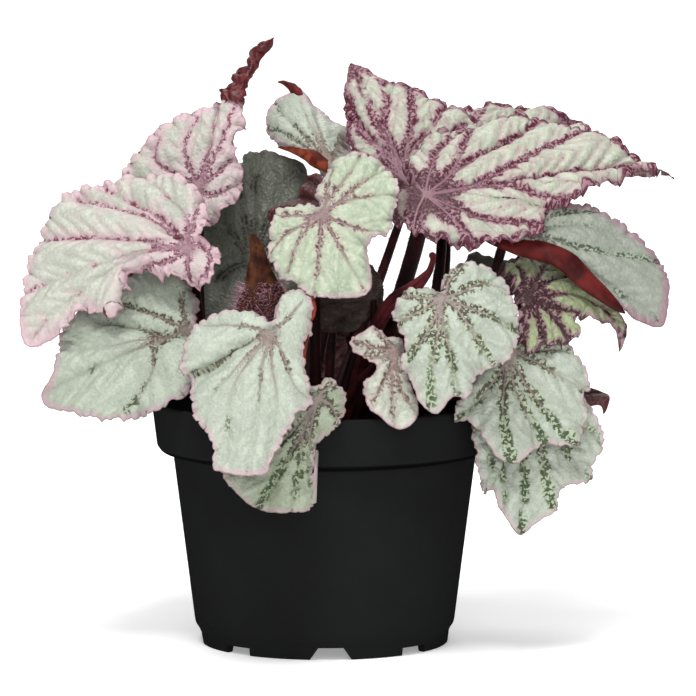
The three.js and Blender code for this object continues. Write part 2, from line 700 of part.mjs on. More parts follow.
for (const leaf of LEAVES) {
  const normal = new THREE.Vector3(...leaf.face).normalize();
  const joint = atDepth(leaf.joint);
  const centre = joint.clone().addScaledVector(normal, -leaf.dome);
  const rim = rimCurve(leaf, centre, normal);
  let blade = bladeGeometry(leaf, rim, centre, normal);
  if (leaf.rolled) {
    blade = toGeometry(toSolid(blade).add(toSolid(rolledMargin(leaf, rim, normal))));
  }
  addNode(`leaf_${leaf.name}_blade`, blade, leaf.colour);
  const [tipX, tipY] = leaf.outline[0];
  const curve = stalkCurve(leaf, joint, normal, onPlane(tipX, tipY, centre, normal));
  const radii = leaf.stalk ?? STALK_RADII;
  const stalk = stemGeometry(curve, radii, STALK_STATIONS, STALK_SIDES);
  addNode(`leaf_${leaf.name}_stalk`, stalk, 'stalk');
  openHole(curve, radii, STALK_STATIONS);
}

const youngCurve = curveThrough(YOUNG_LEAF.path);
const youngLeaf = stemGeometry(youngCurve, YOUNG_LEAF.radii, YOUNG_LEAF.stations, STALK_SIDES);
addNode('leaf_young_folded', youngLeaf, 'red');
openHole(youngCurve, YOUNG_LEAF.radii, YOUNG_LEAF.stations);

addNode('stipule', makeStipule(), 'rhizome');
addNode('rhizome', toGeometry(rhizome), 'rhizome');
addNode('potting_mix', toGeometry(mix), 'mix');
addNode('pot', toGeometry(makePot()), 'pot');

export default group;
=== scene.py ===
# %% [markdown]
# # A potted rex begonia
#
# The plant stands in a black nursery pot. Its silver leaves carry coloured nets along their veins,
# and every leaf has its own shape, so the leaves are built one by one from a table. Everything else
# follows from simple rules: stalks follow paths, hairs and crumbs are scattered, the pot is turned.
#
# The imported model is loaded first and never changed. It says where everything stands.

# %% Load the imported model
import math
from types import SimpleNamespace

import bmesh
import bpy
import numpy as np
from mathutils import Matrix, Vector
from mathutils.geometry import delaunay_2d_cdt


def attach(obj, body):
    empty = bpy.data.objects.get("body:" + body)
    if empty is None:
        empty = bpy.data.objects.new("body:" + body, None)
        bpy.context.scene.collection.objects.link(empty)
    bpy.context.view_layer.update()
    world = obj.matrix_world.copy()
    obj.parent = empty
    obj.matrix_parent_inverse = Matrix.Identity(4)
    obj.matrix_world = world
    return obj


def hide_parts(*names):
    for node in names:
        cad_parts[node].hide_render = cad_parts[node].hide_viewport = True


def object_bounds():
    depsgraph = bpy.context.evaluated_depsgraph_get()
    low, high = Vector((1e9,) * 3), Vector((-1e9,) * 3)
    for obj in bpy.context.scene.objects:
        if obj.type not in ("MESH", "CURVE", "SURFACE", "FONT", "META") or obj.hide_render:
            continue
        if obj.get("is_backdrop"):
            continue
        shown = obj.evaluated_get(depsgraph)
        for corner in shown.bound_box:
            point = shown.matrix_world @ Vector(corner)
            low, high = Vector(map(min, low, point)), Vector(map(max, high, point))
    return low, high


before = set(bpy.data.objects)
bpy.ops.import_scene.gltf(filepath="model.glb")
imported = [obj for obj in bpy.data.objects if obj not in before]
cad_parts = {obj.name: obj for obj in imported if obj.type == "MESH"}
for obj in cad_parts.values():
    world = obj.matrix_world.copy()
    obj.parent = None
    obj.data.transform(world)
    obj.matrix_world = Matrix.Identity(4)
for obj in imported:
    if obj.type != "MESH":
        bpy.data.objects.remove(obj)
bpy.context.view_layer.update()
scene = bpy.context.scene
MM = 0.001
print("solids in the packed model:", len(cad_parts))

# %% [markdown]
# ## The viewpoint
#
# The plant is seen from the front, a little from above and from far away, so a long lens is used.
# The same eye, tilt and focal length serve the leaf outlines further down, which are drawn as
# points in the picture.

# %% Camera
EYE = np.array([8.8, -2400.0, 393.0])
EYE_TILT = math.radians(6.7)
FOCAL_LENGTH = 6433
PICTURE_SIZE = 696
PICTURE_CENTRE = PICTURE_SIZE / 2
SENSOR = 36

camera = bpy.data.objects.new("camera", bpy.data.cameras.new("camera"))
scene.collection.objects.link(camera)
camera.location = Vector(EYE * MM)
camera.rotation_euler = (math.pi / 2 - EYE_TILT, 0, 0)
camera.data.sensor_width = SENSOR
camera.data.lens = FOCAL_LENGTH / PICTURE_SIZE * SENSOR
camera.data.clip_end = 100
scene.camera = camera
print("lens:", round(camera.data.lens, 1), "mm")

# %% [markdown]
# ## Nodes in a few words
#
# Shader trees are easier to read when one short call makes a node, sets its inputs and links it.
# A socket given as a value becomes a link, and anything else becomes a plain setting.

# %% Helpers for shader trees
# A Mix node has sockets of the same names for numbers and colours, so they go by their places.
MIX_SHARE, MIX_FIRST, MIX_SECOND, MIX_RESULT = 0, 6, 7, 2


def paint(code):
    """A colour written as #rrggbb, as Blender's linear colour."""
    parts = [int(code[i:i + 2], 16) / 255 for i in (1, 3, 5)]
    linear = [p / 12.92 if p < 0.04045 else ((p + 0.055) / 1.055) ** 2.4 for p in parts]
    return (*linear, 1)


def put(tree, kind, inputs=None, **settings):
    """A new node of a kind, with its inputs by name or place and its settings by name."""
    made = tree.nodes.new(kind)
    for name, value in settings.items():
        setattr(made, name, value)
    for key, value in (inputs or {}).items():
        if isinstance(value, bpy.types.NodeSocket):
            tree.links.new(value, made.inputs[key])
        else:
            made.inputs[key].default_value = value
    return made


def calc(tree, operation, *values):
    """A sum or another operation on numbers."""
    return put(tree, "ShaderNodeMath", dict(enumerate(values)), operation=operation).outputs[0]


def smooth(tree, value, start, end, low=0.0, high=1.0):
    """A soft step: low before start, high after end."""
    inputs = {"Value": value, "From Min": start, "From Max": end, "To Min": low, "To Max": high}
    return put(tree, "ShaderNodeMapRange", inputs, interpolation_type="SMOOTHSTEP").outputs[0]


def mix(tree, share, first, second):
    """Two colours mixed: the first where share is 0 and the second where it is 1."""
    inputs = {MIX_SHARE: share, MIX_FIRST: first, MIX_SECOND: second}
    return put(tree, "ShaderNodeMix", inputs, data_type="RGBA").outputs[MIX_RESULT]


def read(tree, name, output="Fac"):
    """A value that is stored on the mesh."""
    return put(tree, "ShaderNodeAttribute", attribute_name=name).outputs[output]


VECTOR = "vector"


def group(name, inputs, outputs):
    """An empty shader node group. Each input is given by its value: a float, a colour or VECTOR."""
    tree = bpy.data.node_groups.new(name, "ShaderNodeTree")
    for label, value in inputs.items():
        kind = {float: "Float", tuple: "Color", str: "Vector"}[type(value)]
        socket = tree.interface.new_socket(label, in_out="INPUT", socket_type="NodeSocket" + kind)
        if value != VECTOR:
            socket.default_value = value
    for label, kind in outputs.items():
        tree.interface.new_socket(label, in_out="OUTPUT", socket_type="NodeSocket" + kind)
    start = tree.nodes.new("NodeGroupInput")
    end = tree.nodes.new("NodeGroupOutput")
    return tree, start.outputs, end.inputs


def place(tree, shared, inputs):
    """The outputs of a shared group that is placed in a tree."""
    return put(tree, "ShaderNodeGroup", inputs, node_tree=shared).outputs


def new_material(name):
    material = bpy.data.materials.new(name)
    material.use_nodes = True
    return material, material.node_tree, material.node_tree.nodes["Principled BSDF"]


print("helpers ready")

# %% [markdown]
# ## Leaf table
#
# Each row is one leaf. Points are points of the picture, and lengths are in millimetres.
#
# - `finish` is the way its upper side looks, and `face` the direction that this side faces.
# - `joint` is where the stalk meets the blade, as a point and its depth, and `root` is the place
#   on the mix that the stalk grows from.
# - `dome` is how far the joint stands above the leaf's plane, and `ruffle` and `waves` are the
#   height and number of the waves round the rim.
# - `outline` starts at the tip and goes round, some points with a lift off the leaf's plane.
# - `veins` lists the main veins, each by the points that it passes after the joint. A leaf that
#   the picture hides has none, and gets its veins spread out like fingers.
#
# Some leaves need more. `bold` names veins with a fuller net, and `folds` gives a vein's number and
# the depth and half width of the fold along it. `hub` is a point that sees the whole outline, where
# the joint doesn't. `turned_above` is the height in the picture above which the tip is a ribbon
# turned to its red side, and `turned_axis` the foot of that ribbon. `arrive`, `lean` and `rise`
# bend the stalk: the way it comes in, and how far it leans and rises at first. `stalk` is its
# radius at the foot and at the top.

# %% Leaf table
LEAVES = [
    dict(
        name="top_left", finish="rose", joint=(197, 187, 16), face=(-0.2, -0.93, 0.3), dome=5,
        ruffle=1.6, waves=8, root=(-36, 10), turned_above=103, turned_axis=(236, 103),
        lean=(-16, 4), rise=0.2, bold=(0, 2, 3),
        outline=[
            (273, 39, -4), (262, 62, -3), (251, 86, -2), (244, 106), (245, 129), (237, 145),
            (244, 176), (241, 198), (224, 215), (207, 228), (194, 204, 2), (178, 224),
            (150, 222, -2), (128, 203, -1), (122, 172), (140, 148), (161, 127), (190, 111),
            (214, 104), (222, 92, -2), (240, 70, -3), (258, 48, -4),
        ],
        veins=[
            [(212, 162), (224, 136), (236, 104), (262, 62)], [(207, 158), (213, 136), (217, 112)],
            [(188, 162), (185, 146), (197, 119)], [(176, 175), (156, 162), (160, 140)],
            [(160, 182), (128, 176)], [(215, 175), (232, 160)], [(212, 196), (236, 186)],
            [(186, 204), (172, 216)],
        ],
    ),
    dict(
        name="left", finish="rose", joint=(185, 243, -30), face=(-0.25, -0.78, 0.57), dome=7,
        ruffle=1.5, waves=9, root=(-36, 2), arrive=(-0.1, -0.8, 0.6), lean=(-9, 0), rise=0.2,
        folds={2: (1.4, 3), 3: (1.6, 3), 4: (1.6, 3)}, bold=(2, 3, 4, 7), hub=(122, 252),
        outline=[
            (27, 346, -6), (22, 308, -3), (36, 245), (60, 201), (106, 184), (134, 176),
            (179, 176), (205, 199), (209, 222), (201, 236, 2), (214, 242), (222, 258, -1),
            (216, 276, -2), (201, 289, -3), (188, 288), (172, 280), (156, 277), (140, 274),
            (130, 279), (127, 290), (127, 302, -3), (113, 318, -3), (92, 313, -4), (67, 329, -5),
        ],
        veins=[
            [(150, 251), (112, 268), (62, 308), (30, 342)], [(150, 249), (90, 268), (30, 292)],
            [(145, 240), (95, 237), (42, 241)], [(160, 222), (120, 208), (76, 199)],
            [(168, 222), (140, 205), (104, 189)], [(186, 216), (166, 196), (146, 180)],
            [(195, 220), (200, 204)], [(204, 246), (211, 266), (204, 284)],
            [(188, 262), (189, 284)], [(168, 261), (126, 271)],
        ],
    ),
    dict(
        name="left_low", finish="sage_painted_shade", joint=(188, 330, -31), face=(-0.2, -0.8, 0.57), dome=5,
        ruffle=1.2, waves=7, root=(-31, -5), arrive=(-0.15, -0.85, 0.5),
        folds={3: (2.5, 3.5)}, bold=(1, 3, 4),
        outline=[
            (41, 399, -4), (53, 374), (57, 350), (60, 332), (72, 316), (98, 300), (118, 284),
            (140, 271), (163, 267), (185, 277), (200, 306), (197, 327, 3), (202, 345),
            (201, 372, -2), (186, 399, -3), (143, 416, -4), (116, 423, -4), (74, 416, -4),
        ],
        veins=[
            [(158, 341), (112, 360), (44, 397)], [(158, 344), (150, 378), (126, 412)],
            [(162, 336), (108, 346), (60, 352)], [(164, 334), (130, 324), (100, 320)],
            [(172, 322), (146, 312), (124, 304)], [(184, 312), (180, 294)],
            [(190, 346), (186, 364)],
        ],
    ),
    dict(
        name="front_left", finish="silver", joint=(271, 333, -64), face=(-0.05, -0.86, 0.5),
        dome=6, ruffle=1.2, waves=8, root=(-12, -22), folds={2: (4.2, 3)}, bold=(2,),
        outline=[
            (247, 478), (214, 468), (210, 443), (192, 416), (188, 385), (179, 372), (183, 350),
            (194, 325), (234, 311), (260, 313), (272, 322, 3), (276, 305), (289, 290), (311, 296),
            (312, 330), (305, 352), (309, 379), (314, 401), (297, 421), (275, 457), (263, 475),
        ],
        veins=[
            [(262, 366), (258, 410), (248, 474)], [(250, 360), (232, 392), (226, 462)],
            [(256, 337), (236, 345), (216, 364), (190, 376)], [(252, 350), (222, 384), (196, 410)],
            [(246, 326), (206, 326)], [(288, 318), (302, 302)],
            [(282, 352), (294, 384), (308, 398)],
            [(272, 366), (278, 404), (272, 456)],
        ],
    ),
    dict(
        name="front_low", finish="moss_painted_shade", joint=(318, 399, -68), face=(0.05, -0.98, 0.2),
        dome=3, ruffle=1, waves=7, root=(-3, -31), bold=(0,),
        outline=[
            (257, 509), (234, 492), (219, 470), (240, 445), (268, 420), (292, 396), (306, 380),
            (316, 384, 2), (330, 376), (346, 392), (347, 408), (335, 432), (321, 441), (316, 463),
            (317, 486), (315, 508), (286, 514),
        ],
        veins=[
            [(298, 440), (276, 478), (258, 506)], [(304, 430), (300, 470), (292, 508)],
            [(290, 434), (258, 456), (232, 472)], [(310, 436), (312, 480)],
            [(330, 404), (338, 420)], [(322, 392), (334, 384)], [(304, 396), (300, 388)],
        ],
    ),
    dict(
        name="centre", finish="blush", joint=(322, 214, -44), face=(-0.05, -0.9, 0.42), dome=6,
        ruffle=1.4, waves=9, root=(-3, -14),
        outline=[
            (369, 295), (342, 297), (315, 300), (292, 284), (276, 275), (267, 254), (267, 242),
            (276, 212), (293, 206), (307, 203), (317, 206, 3), (315, 196), (322, 178), (334, 162),
            (359, 152), (387, 166), (401, 191), (395, 212), (389, 235), (368, 246), (370, 271),
        ],
        veins=[
            [(334, 236), (350, 266), (366, 292)], [(320, 240), (318, 262), (314, 294)],
            [(306, 230), (296, 246), (289, 272)], [(304, 224), (286, 234), (272, 250)],
            [(308, 216), (282, 216)], [(330, 198), (346, 178), (360, 158)],
            [(336, 204), (358, 186), (386, 170)], [(344, 201), (368, 197), (396, 194)],
            [(340, 222), (362, 230), (384, 234)], [(326, 192), (332, 172)],
        ],
    ),
    dict(
        name="shade_left", finish="dusk_painted_shade", joint=(250, 262, 34), face=(-0.1, -0.93, 0.35),
        dome=3, ruffle=0.8, waves=5, root=(-9, 10),
        outline=[
            (306, 167), (284, 156), (265, 149), (246, 153), (234, 168), (220, 190), (204, 214),
            (194, 240), (187, 268), (184, 296), (190, 318), (226, 328), (248, 316), (254, 292, 2),
            (266, 318), (288, 314), (302, 290), (306, 250), (306, 215), (307, 190),
        ],
        veins=[
            [(268, 222), (284, 184), (302, 170)], [(254, 222), (254, 186), (262, 154)],
            [(240, 244), (226, 222), (226, 200)], [(246, 230), (240, 196), (240, 164)],
            [(232, 268), (218, 280)], [(274, 240), (300, 214)], [(268, 268), (286, 266)],
        ],
    ),
    dict(
        name="top_centre", finish="silver", joint=(331, 166, 24), face=(-0.25, -0.87, 0.43),
        dome=8, ruffle=0.8, waves=5, root=(1, 7), arrive=(-0.2, -0.9, 0.35), stalk=(2.2, 1.2),
        bold=(1, 2, 5),
        outline=[
            (300, 90, -4), (290, 94, -3), (281, 96, -3), (272, 104, -4), (267, 115, -5),
            (266, 129, -5), (270, 138, -4), (276, 144, -4), (300, 157, -3), (314, 165, -1),
            (321, 176), (333, 185, 1), (345, 182, -3), (356, 168, -14), (352, 146, -16),
            (348, 128, -15), (333, 122, -11), (323, 112, -8), (314, 106, -6), (306, 95, -4),
        ],
        veins=[
            [(318, 140), (304, 112), (298, 96)], [(310, 142), (286, 118), (276, 104)],
            [(306, 148), (284, 134), (268, 126)], [(322, 138), (316, 116)],
            [(314, 158), (290, 152)], [(340, 150), (344, 134)],
        ],
    ),
    dict(
        name="shade_centre", finish="wine", joint=(330, 206, -4), face=(-0.15, -0.8, 0.58),
        dome=3, ruffle=1, waves=6, root=(-6, -3),
        outline=[
            (267, 216), (282, 204), (298, 196), (303, 184), (308, 175), (320, 175), (340, 184),
            (352, 202), (349, 226), (334, 238), (318, 236), (296, 235), (278, 228),
        ],
    ),
    dict(
        name="top_right", finish="magenta", joint=(411, 185, 4), face=(-0.05, -0.82, 0.57),
        dome=6, ruffle=1.4, waves=8, root=(3, -4), arrive=(0.25, -0.45, 0.86), lean=(0, -2),
        rise=0.2, stalk=(2.2, 1.5),
        outline=[
            (352, 63, -3), (346, 82), (343, 105), (345, 126), (350, 150), (366, 168), (384, 186),
            (398, 200, 2), (408, 196, 4), (420, 200, 3), (437, 186), (462, 166), (484, 142),
            (482, 124), (464, 112), (449, 104), (421, 91), (386, 80),
        ],
        veins=[
            [(396, 156), (372, 116), (354, 68)], [(398, 156), (384, 124), (388, 104), (383, 82)],
            [(392, 162), (370, 142), (348, 118)], [(405, 156), (411, 130), (410, 92)],
            [(411, 152), (428, 132), (446, 106)], [(388, 168), (362, 160)],
            [(424, 160), (462, 128)], [(396, 160), (366, 134), (348, 96)],
        ],
    ),
    dict(
        name="right", finish="magenta", joint=(425, 195, -26), face=(0.03, -0.64, 0.77), dome=7,
        ruffle=1.6, waves=11, root=(10, -2), arrive=(0.1, -0.35, 0.93), lean=(4, 10),
        rise=0.2, stalk=(3.4, 3),
        outline=[
            (674, 173, -8), (660, 170, -5), (648, 162, -3), (611, 141), (567, 126), (534, 120),
            (482, 122), (450, 130), (428, 141), (412, 154), (402, 171), (410, 188, 2), (396, 196),
            (393, 218), (411, 236), (445, 243), (482, 251), (515, 241), (545, 232), (548, 212),
            (572, 204), (601, 188), (628, 178), (652, 173, -4),
        ],
        veins=[
            [(468, 188), (522, 182), (568, 177), (622, 168), (670, 172)],
            [(446, 178), (474, 159), (508, 143), (536, 124)],
            [(468, 187), (504, 170), (540, 152), (582, 134)],
            [(430, 172), (442, 148), (474, 125)],
            [(446, 178), (460, 156), (470, 134), (484, 124)],
            [(452, 206), (482, 218), (536, 224)], [(444, 210), (462, 228), (478, 244)],
            [(418, 208), (412, 230)], [(506, 186), (534, 194), (574, 200)],
            [(416, 184), (408, 168)],
        ],
    ),
    dict(
        name="right_behind", finish="magenta", joint=(440, 166, 26), face=(0.08, -0.72, 0.69),
        dome=4, ruffle=1.3, waves=8, root=(20, 7), arrive=(-0.05, -0.5, 0.86),
        lean=(28, -2), rise=0.5,
        outline=[
            (584, 123, -3), (567, 116), (536, 108), (505, 105), (483, 105), (462, 110), (444, 124),
            (430, 140), (424, 158), (432, 167, 2), (426, 180), (444, 194), (478, 196), (520, 186),
            (560, 166), (590, 146),
        ],
        veins=[
            [(480, 150), (530, 134), (580, 124)], [(470, 146), (500, 128), (528, 109)],
            [(456, 148), (470, 128), (484, 108)], [(444, 150), (446, 130)],
            [(480, 164), (540, 156), (574, 148)], [(460, 172), (500, 184)],
            [(442, 176), (448, 188)],
        ],
    ),
    dict(
        name="right_pale", finish="pale", joint=(508, 222, -24), face=(0.22, -0.88, 0.42),
        dome=5, ruffle=0.8, waves=6, root=(20, -2), arrive=(0.1, -0.5, 0.86), lean=(24, -8),
        rise=0.2, bold=(1, 3),
        outline=[
            (663, 326, -3), (640, 323, -2), (622, 312), (600, 297), (580, 283), (560, 270),
            (540, 258), (520, 250), (505, 246), (490, 243), (478, 236), (474, 226), (484, 222, 2),
            (481, 212), (500, 206), (530, 204), (560, 203),
            (589, 205), (622, 223), (651, 247), (664, 264), (669, 286), (668, 306),
        ],
        veins=[
            [(548, 246), (604, 282), (656, 320)], [(546, 238), (598, 251), (660, 262)],
            [(536, 230), (580, 226), (640, 240)], [(530, 222), (572, 212), (600, 212)],
            [(530, 252), (580, 296)], [(512, 212), (532, 202)],
        ],
    ),
    dict(
        name="right_ruffled", finish="ruffled", joint=(526, 299, -34), face=(0.3, -0.62, 0.72),
        dome=6, ruffle=1.6, waves=11, root=(18, -10), lean=(4, -2), rise=0.3,
        outline=[
            (620, 348, -8), (612, 330, -4), (596, 326, -3), (574, 324, -2), (580, 336, -3),
            (558, 346, -3), (536, 352, -3), (520, 349, -2), (514, 330), (516, 304, 4), (507, 290),
            (500, 272), (516, 260), (545, 258), (575, 270), (604, 296), (624, 324, -4),
        ],
        veins=[
            [(556, 294), (584, 298), (610, 318), (620, 344)], [(546, 284), (574, 280), (606, 306)],
            [(536, 280), (548, 264)], [(524, 280), (516, 266)],
            [(546, 308), (560, 326), (566, 342)],
            [(536, 312), (540, 346)], [(524, 318), (524, 344)], [(556, 306), (590, 322)],
            [(514, 290), (506, 278)],
        ],
    ),
    dict(
        name="shade_right", finish="dusk_painted_shade", joint=(522, 276, 16), face=(0.15, -0.86, 0.48),
        dome=3, ruffle=0.8, waves=5, root=(14, 8), lean=(4, 4), rise=0.3,
        outline=[
            (607, 288), (585, 272), (560, 260), (533, 254), (511, 257), (491, 257), (474, 252),
            (464, 262), (468, 282), (482, 300), (504, 304), (518, 288, 2), (534, 302), (562, 308),
            (590, 304),
        ],
    ),
    dict(
        name="front_right", finish="moss", joint=(441, 298, -60), face=(0.02, -0.92, 0.38),
        dome=6, ruffle=1.2, waves=8, root=(9, -21),
        outline=[
            (436, 414), (418, 402), (413, 386), (400, 362), (403, 339), (397, 330), (392, 316),
            (395, 300), (407, 289), (427, 286), (441, 291, 3), (440, 279), (452, 267), (465, 262),
            (485, 265), (505, 280), (513, 297), (521, 320), (518, 343), (510, 361), (492, 371),
            (478, 375), (467, 401), (454, 397),
        ],
        veins=[
            [(438, 330), (433, 364), (431, 408)], [(444, 328), (450, 352), (457, 392)],
            [(456, 308), (474, 334), (490, 366)], [(462, 305), (490, 316), (518, 330)],
            [(462, 292), (482, 284), (506, 290)], [(446, 284), (462, 266)],
            [(430, 328), (410, 358)], [(426, 308), (400, 322)], [(424, 298), (402, 294)],
        ],
    ),
    dict(
        name="right_low", finish="moss", joint=(511, 352, -38), face=(0.15, -0.9, 0.42),
        dome=6, ruffle=1, waves=8, root=(18, -19), bold=(0, 1),
        outline=[
            (516, 465), (496, 456), (485, 443), (469, 424), (452, 421), (456, 403), (469, 386),
            (477, 364), (487, 343), (506, 340, 2), (520, 334), (545, 334), (567, 342), (583, 365),
            (592, 388), (584, 396), (588, 414), (583, 434), (577, 448), (552, 446), (534, 450),
        ],
        veins=[
            [(505, 382), (503, 416), (512, 460)], [(522, 378), (546, 412), (574, 444)],
            [(496, 378), (474, 404), (458, 416)], [(536, 362), (562, 378), (586, 392)],
            [(536, 350), (566, 350)], [(514, 386), (530, 420), (546, 444)],
            [(499, 352), (494, 348)],
        ],
    ),
    dict(
        name="right_lowest", finish="moss", joint=(529, 398, -34), face=(0.22, -0.94, 0.26),
        dome=3, ruffle=1, waves=8, root=(24, -12), arrive=(0.6, -0.75, 0.2), rise=0.5,
        bold=(0, 2, 5),
        outline=[
            (519, 536), (501, 512), (490, 491), (483, 496), (476, 468), (472, 448), (469, 426),
            (480, 402), (502, 384), (526, 387, 2), (552, 384), (578, 392), (598, 419), (606, 443),
            (595, 463), (590, 483), (563, 489), (556, 512), (534, 525),
        ],
        veins=[
            [(524, 446), (524, 492), (520, 530)], [(506, 430), (492, 458), (486, 490)],
            [(540, 448), (546, 480), (552, 506)], [(552, 432), (574, 460), (588, 478)],
            [(556, 416), (590, 432), (602, 444)], [(508, 446), (506, 500)],
            [(498, 412), (474, 430)],
        ],
    ),
    dict(
        name="small_curly", finish="curly", joint=(396, 351, -55), face=(0.1, -0.9, 0.43),
        dome=3, ruffle=1, waves=6, root=(2, -24), stalk=(2, 1.2),
        outline=[
            (400, 430), (385, 421), (367, 408), (364, 380), (376, 368, 3), (359, 358), (349, 339),
            (362, 332), (376, 325), (386, 335), (400, 337), (405, 352), (406, 368), (412, 388),
            (419, 408), (413, 424),
        ],
        veins=[
            [(392, 380), (394, 424)], [(386, 378), (372, 402)], [(374, 348), (354, 340)],
            [(386, 340), (376, 330)], [(400, 386), (414, 410)], [(382, 358), (366, 356)],
        ],
    ),
    dict(
        name="red_curl", finish="wine", joint=(556, 396, -12), face=(0.2, -0.9, 0.38), dome=3,
        ruffle=0.8, waves=5, root=(24, 2), arrive=(0.75, -0.6, 0.1), rise=0.55, stalk=(2, 1.2),
        outline=[
            (604, 414, 6), (598, 408, 3), (580, 412), (562, 412), (546, 404, 1), (547, 388, 1),
            (566, 380), (582, 387, 1), (594, 389, 3), (607, 393, 4), (609, 403, 6),
        ],
    ),
    dict(
        name="shade_middle", finish="drab", joint=(374, 298, -10), face=(0.1, 0.8, 0.6), dome=3,
        ruffle=0.8, waves=5, root=(14, -14), arrive=(0, 0.3, 0.95), lean=(3, -1), stalk=(2, 1.2),
        outline=[
            (318, 327), (334, 334), (354, 330), (370, 318, 2), (380, 308, 3), (385, 290),
            (379, 274), (368, 262), (350, 266), (332, 280), (316, 300),
        ],
    ),
    dict(
        name="back_left", finish="silver", joint=(170, 213, 60), face=(-0.45, 0.58, 0.68),
        dome=5, ruffle=1.2, waves=7, root=(-24, 19), lean=(-6, 12),
        outline=[
            (102, 298), (82, 270), (90, 230), (116, 203), (148, 192), (178, 194), (180, 210, 2),
            (190, 230), (184, 262), (160, 282), (130, 298),
        ],
    ),
    dict(
        name="back_left_low", finish="moss", joint=(158, 338, 44), face=(-0.5, 0.56, 0.66),
        dome=5, ruffle=1.2, waves=7, root=(-24, 9),
        outline=[
            (76, 394), (66, 370), (84, 345), (112, 325), (142, 316), (166, 322), (166, 336, 4),
            (172, 352), (160, 382), (138, 400), (108, 406),
        ],
    ),
    dict(
        name="back_centre", finish="moss", joint=(300, 238, 76), face=(-0.1, 0.93, 0.35),
        dome=5, ruffle=1.2, waves=7, root=(-6, 21),
        outline=[
            (262, 168), (284, 178), (304, 198), (326, 208), (346, 226), (346, 250), (330, 272),
            (306, 276), (300, 250, 2), (282, 266), (256, 266), (240, 246), (236, 214), (246, 186),
        ],
    ),
    dict(
        name="back_right_upper", finish="magenta", joint=(446, 192, 78), face=(0.15, 0.85, 0.5),
        dome=5, ruffle=1.2, waves=8, root=(17, 17), arrive=(0, 0.85, 0.5), lean=(32, 4),
        rise=0.2,
        outline=[
            (566, 156), (544, 136), (504, 124), (464, 126), (434, 142), (420, 166), (434, 190, 2),
            (428, 206), (452, 220), (492, 220), (532, 200),
        ],
    ),
    dict(
        name="back_right_low", finish="silver", joint=(530, 378, 34), face=(0.5, 0.62, 0.6),
        dome=5, ruffle=1.2, waves=7, root=(23, 12), arrive=(0.75, 0.6, -0.1), rise=0.6,
        outline=[
            (562, 458), (582, 442), (588, 416), (580, 388), (562, 368), (538, 356), (520, 360, 2),
            (520, 376, 5), (500, 390, 2), (490, 412), (502, 434), (532, 450),
        ],
    ),
    dict(
        name="back_low", finish="silver", joint=(350, 338, 70), face=(-0.15, 0.78, 0.6), dome=5,
        ruffle=1.2, waves=7, root=(2, 25),
        outline=[
            (340, 404), (368, 402), (396, 388), (414, 360), (414, 330), (398, 306), (374, 306),
            (352, 326, 3), (330, 312), (308, 318), (298, 344), (298, 368), (314, 390),
        ],
    ),
]
print("leaves:", len(LEAVES))

# %% [markdown]
# ## From picture points to a leaf's plane
#
# A blade is nearly flat, so every outline point lies where its line of sight meets the leaf's own
# plane. The rim is then one smooth closed curve through these points, and the surface rises from
# the rim to the joint as a low dome with a ruffled edge. Places on the blade are kept as flat
# coordinates: how far towards the tip, and how far to the side. The same place has polar
# coordinates too: u is the share of the way round the rim, and s is 0 at the hub and 1 at the rim.

# %% Lines of sight
def unit(vector):
    return np.asarray(vector, float) / np.linalg.norm(vector)


LOOK = np.array([0, math.cos(EYE_TILT), -math.sin(EYE_TILT)])
UP = np.array([0, math.sin(EYE_TILT), math.cos(EYE_TILT)])


def sight_line(x, y):
    right = (x - PICTURE_CENTRE) / FOCAL_LENGTH
    down = (y - PICTURE_CENTRE) / FOCAL_LENGTH
    return np.array([right, 0, 0]) + LOOK - down * UP


def at_depth(x, y, depth):
    line = sight_line(x, y)
    return EYE + line * (depth - EYE[1]) / line[1]


def on_plane(x, y, point, normal):
    line = sight_line(x, y)
    return EYE + line * (point - EYE).dot(normal) / line.dot(normal)


def picture_height(points):
    away = points - EYE
    return PICTURE_CENTRE - FOCAL_LENGTH * (away @ UP) / (away @ LOOK)


# %% A closed smooth curve
def closed_curve(corners, steps=24):
    """Centripetal Catmull-Rom through the corners: shares of the way round, and the points."""
    corners = np.asarray(corners, float)
    p0, p1 = np.roll(corners, 1, axis=0), corners
    p2, p3 = np.roll(corners, -1, axis=0), np.roll(corners, -2, axis=0)
    d0, d1, d2 = (np.sqrt(np.linalg.norm(b - a, axis=1))[:, None]
                  for a, b in ((p0, p1), (p1, p2), (p2, p3)))
    t1 = ((p1 - p0) / d0 - (p2 - p0) / (d0 + d1) + (p2 - p1) / d1) * d1
    t2 = ((p2 - p1) / d1 - (p3 - p1) / (d1 + d2) + (p3 - p2) / d2) * d1
    t = (np.arange(steps) / steps)[None, :, None]
    a, b, m, n = (v[:, None, :] for v in (p1, p2, t1, t2))
    cubic = a + m * t + (3 * (b - a) - 2 * m - n) * t ** 2 + (2 * (a - b) + m + n) * t ** 3
    count = len(corners)
    shares = (np.arange(count)[:, None] + t[0, :, 0][None]) / count
    return shares.ravel(), cubic.reshape(-1, 3)


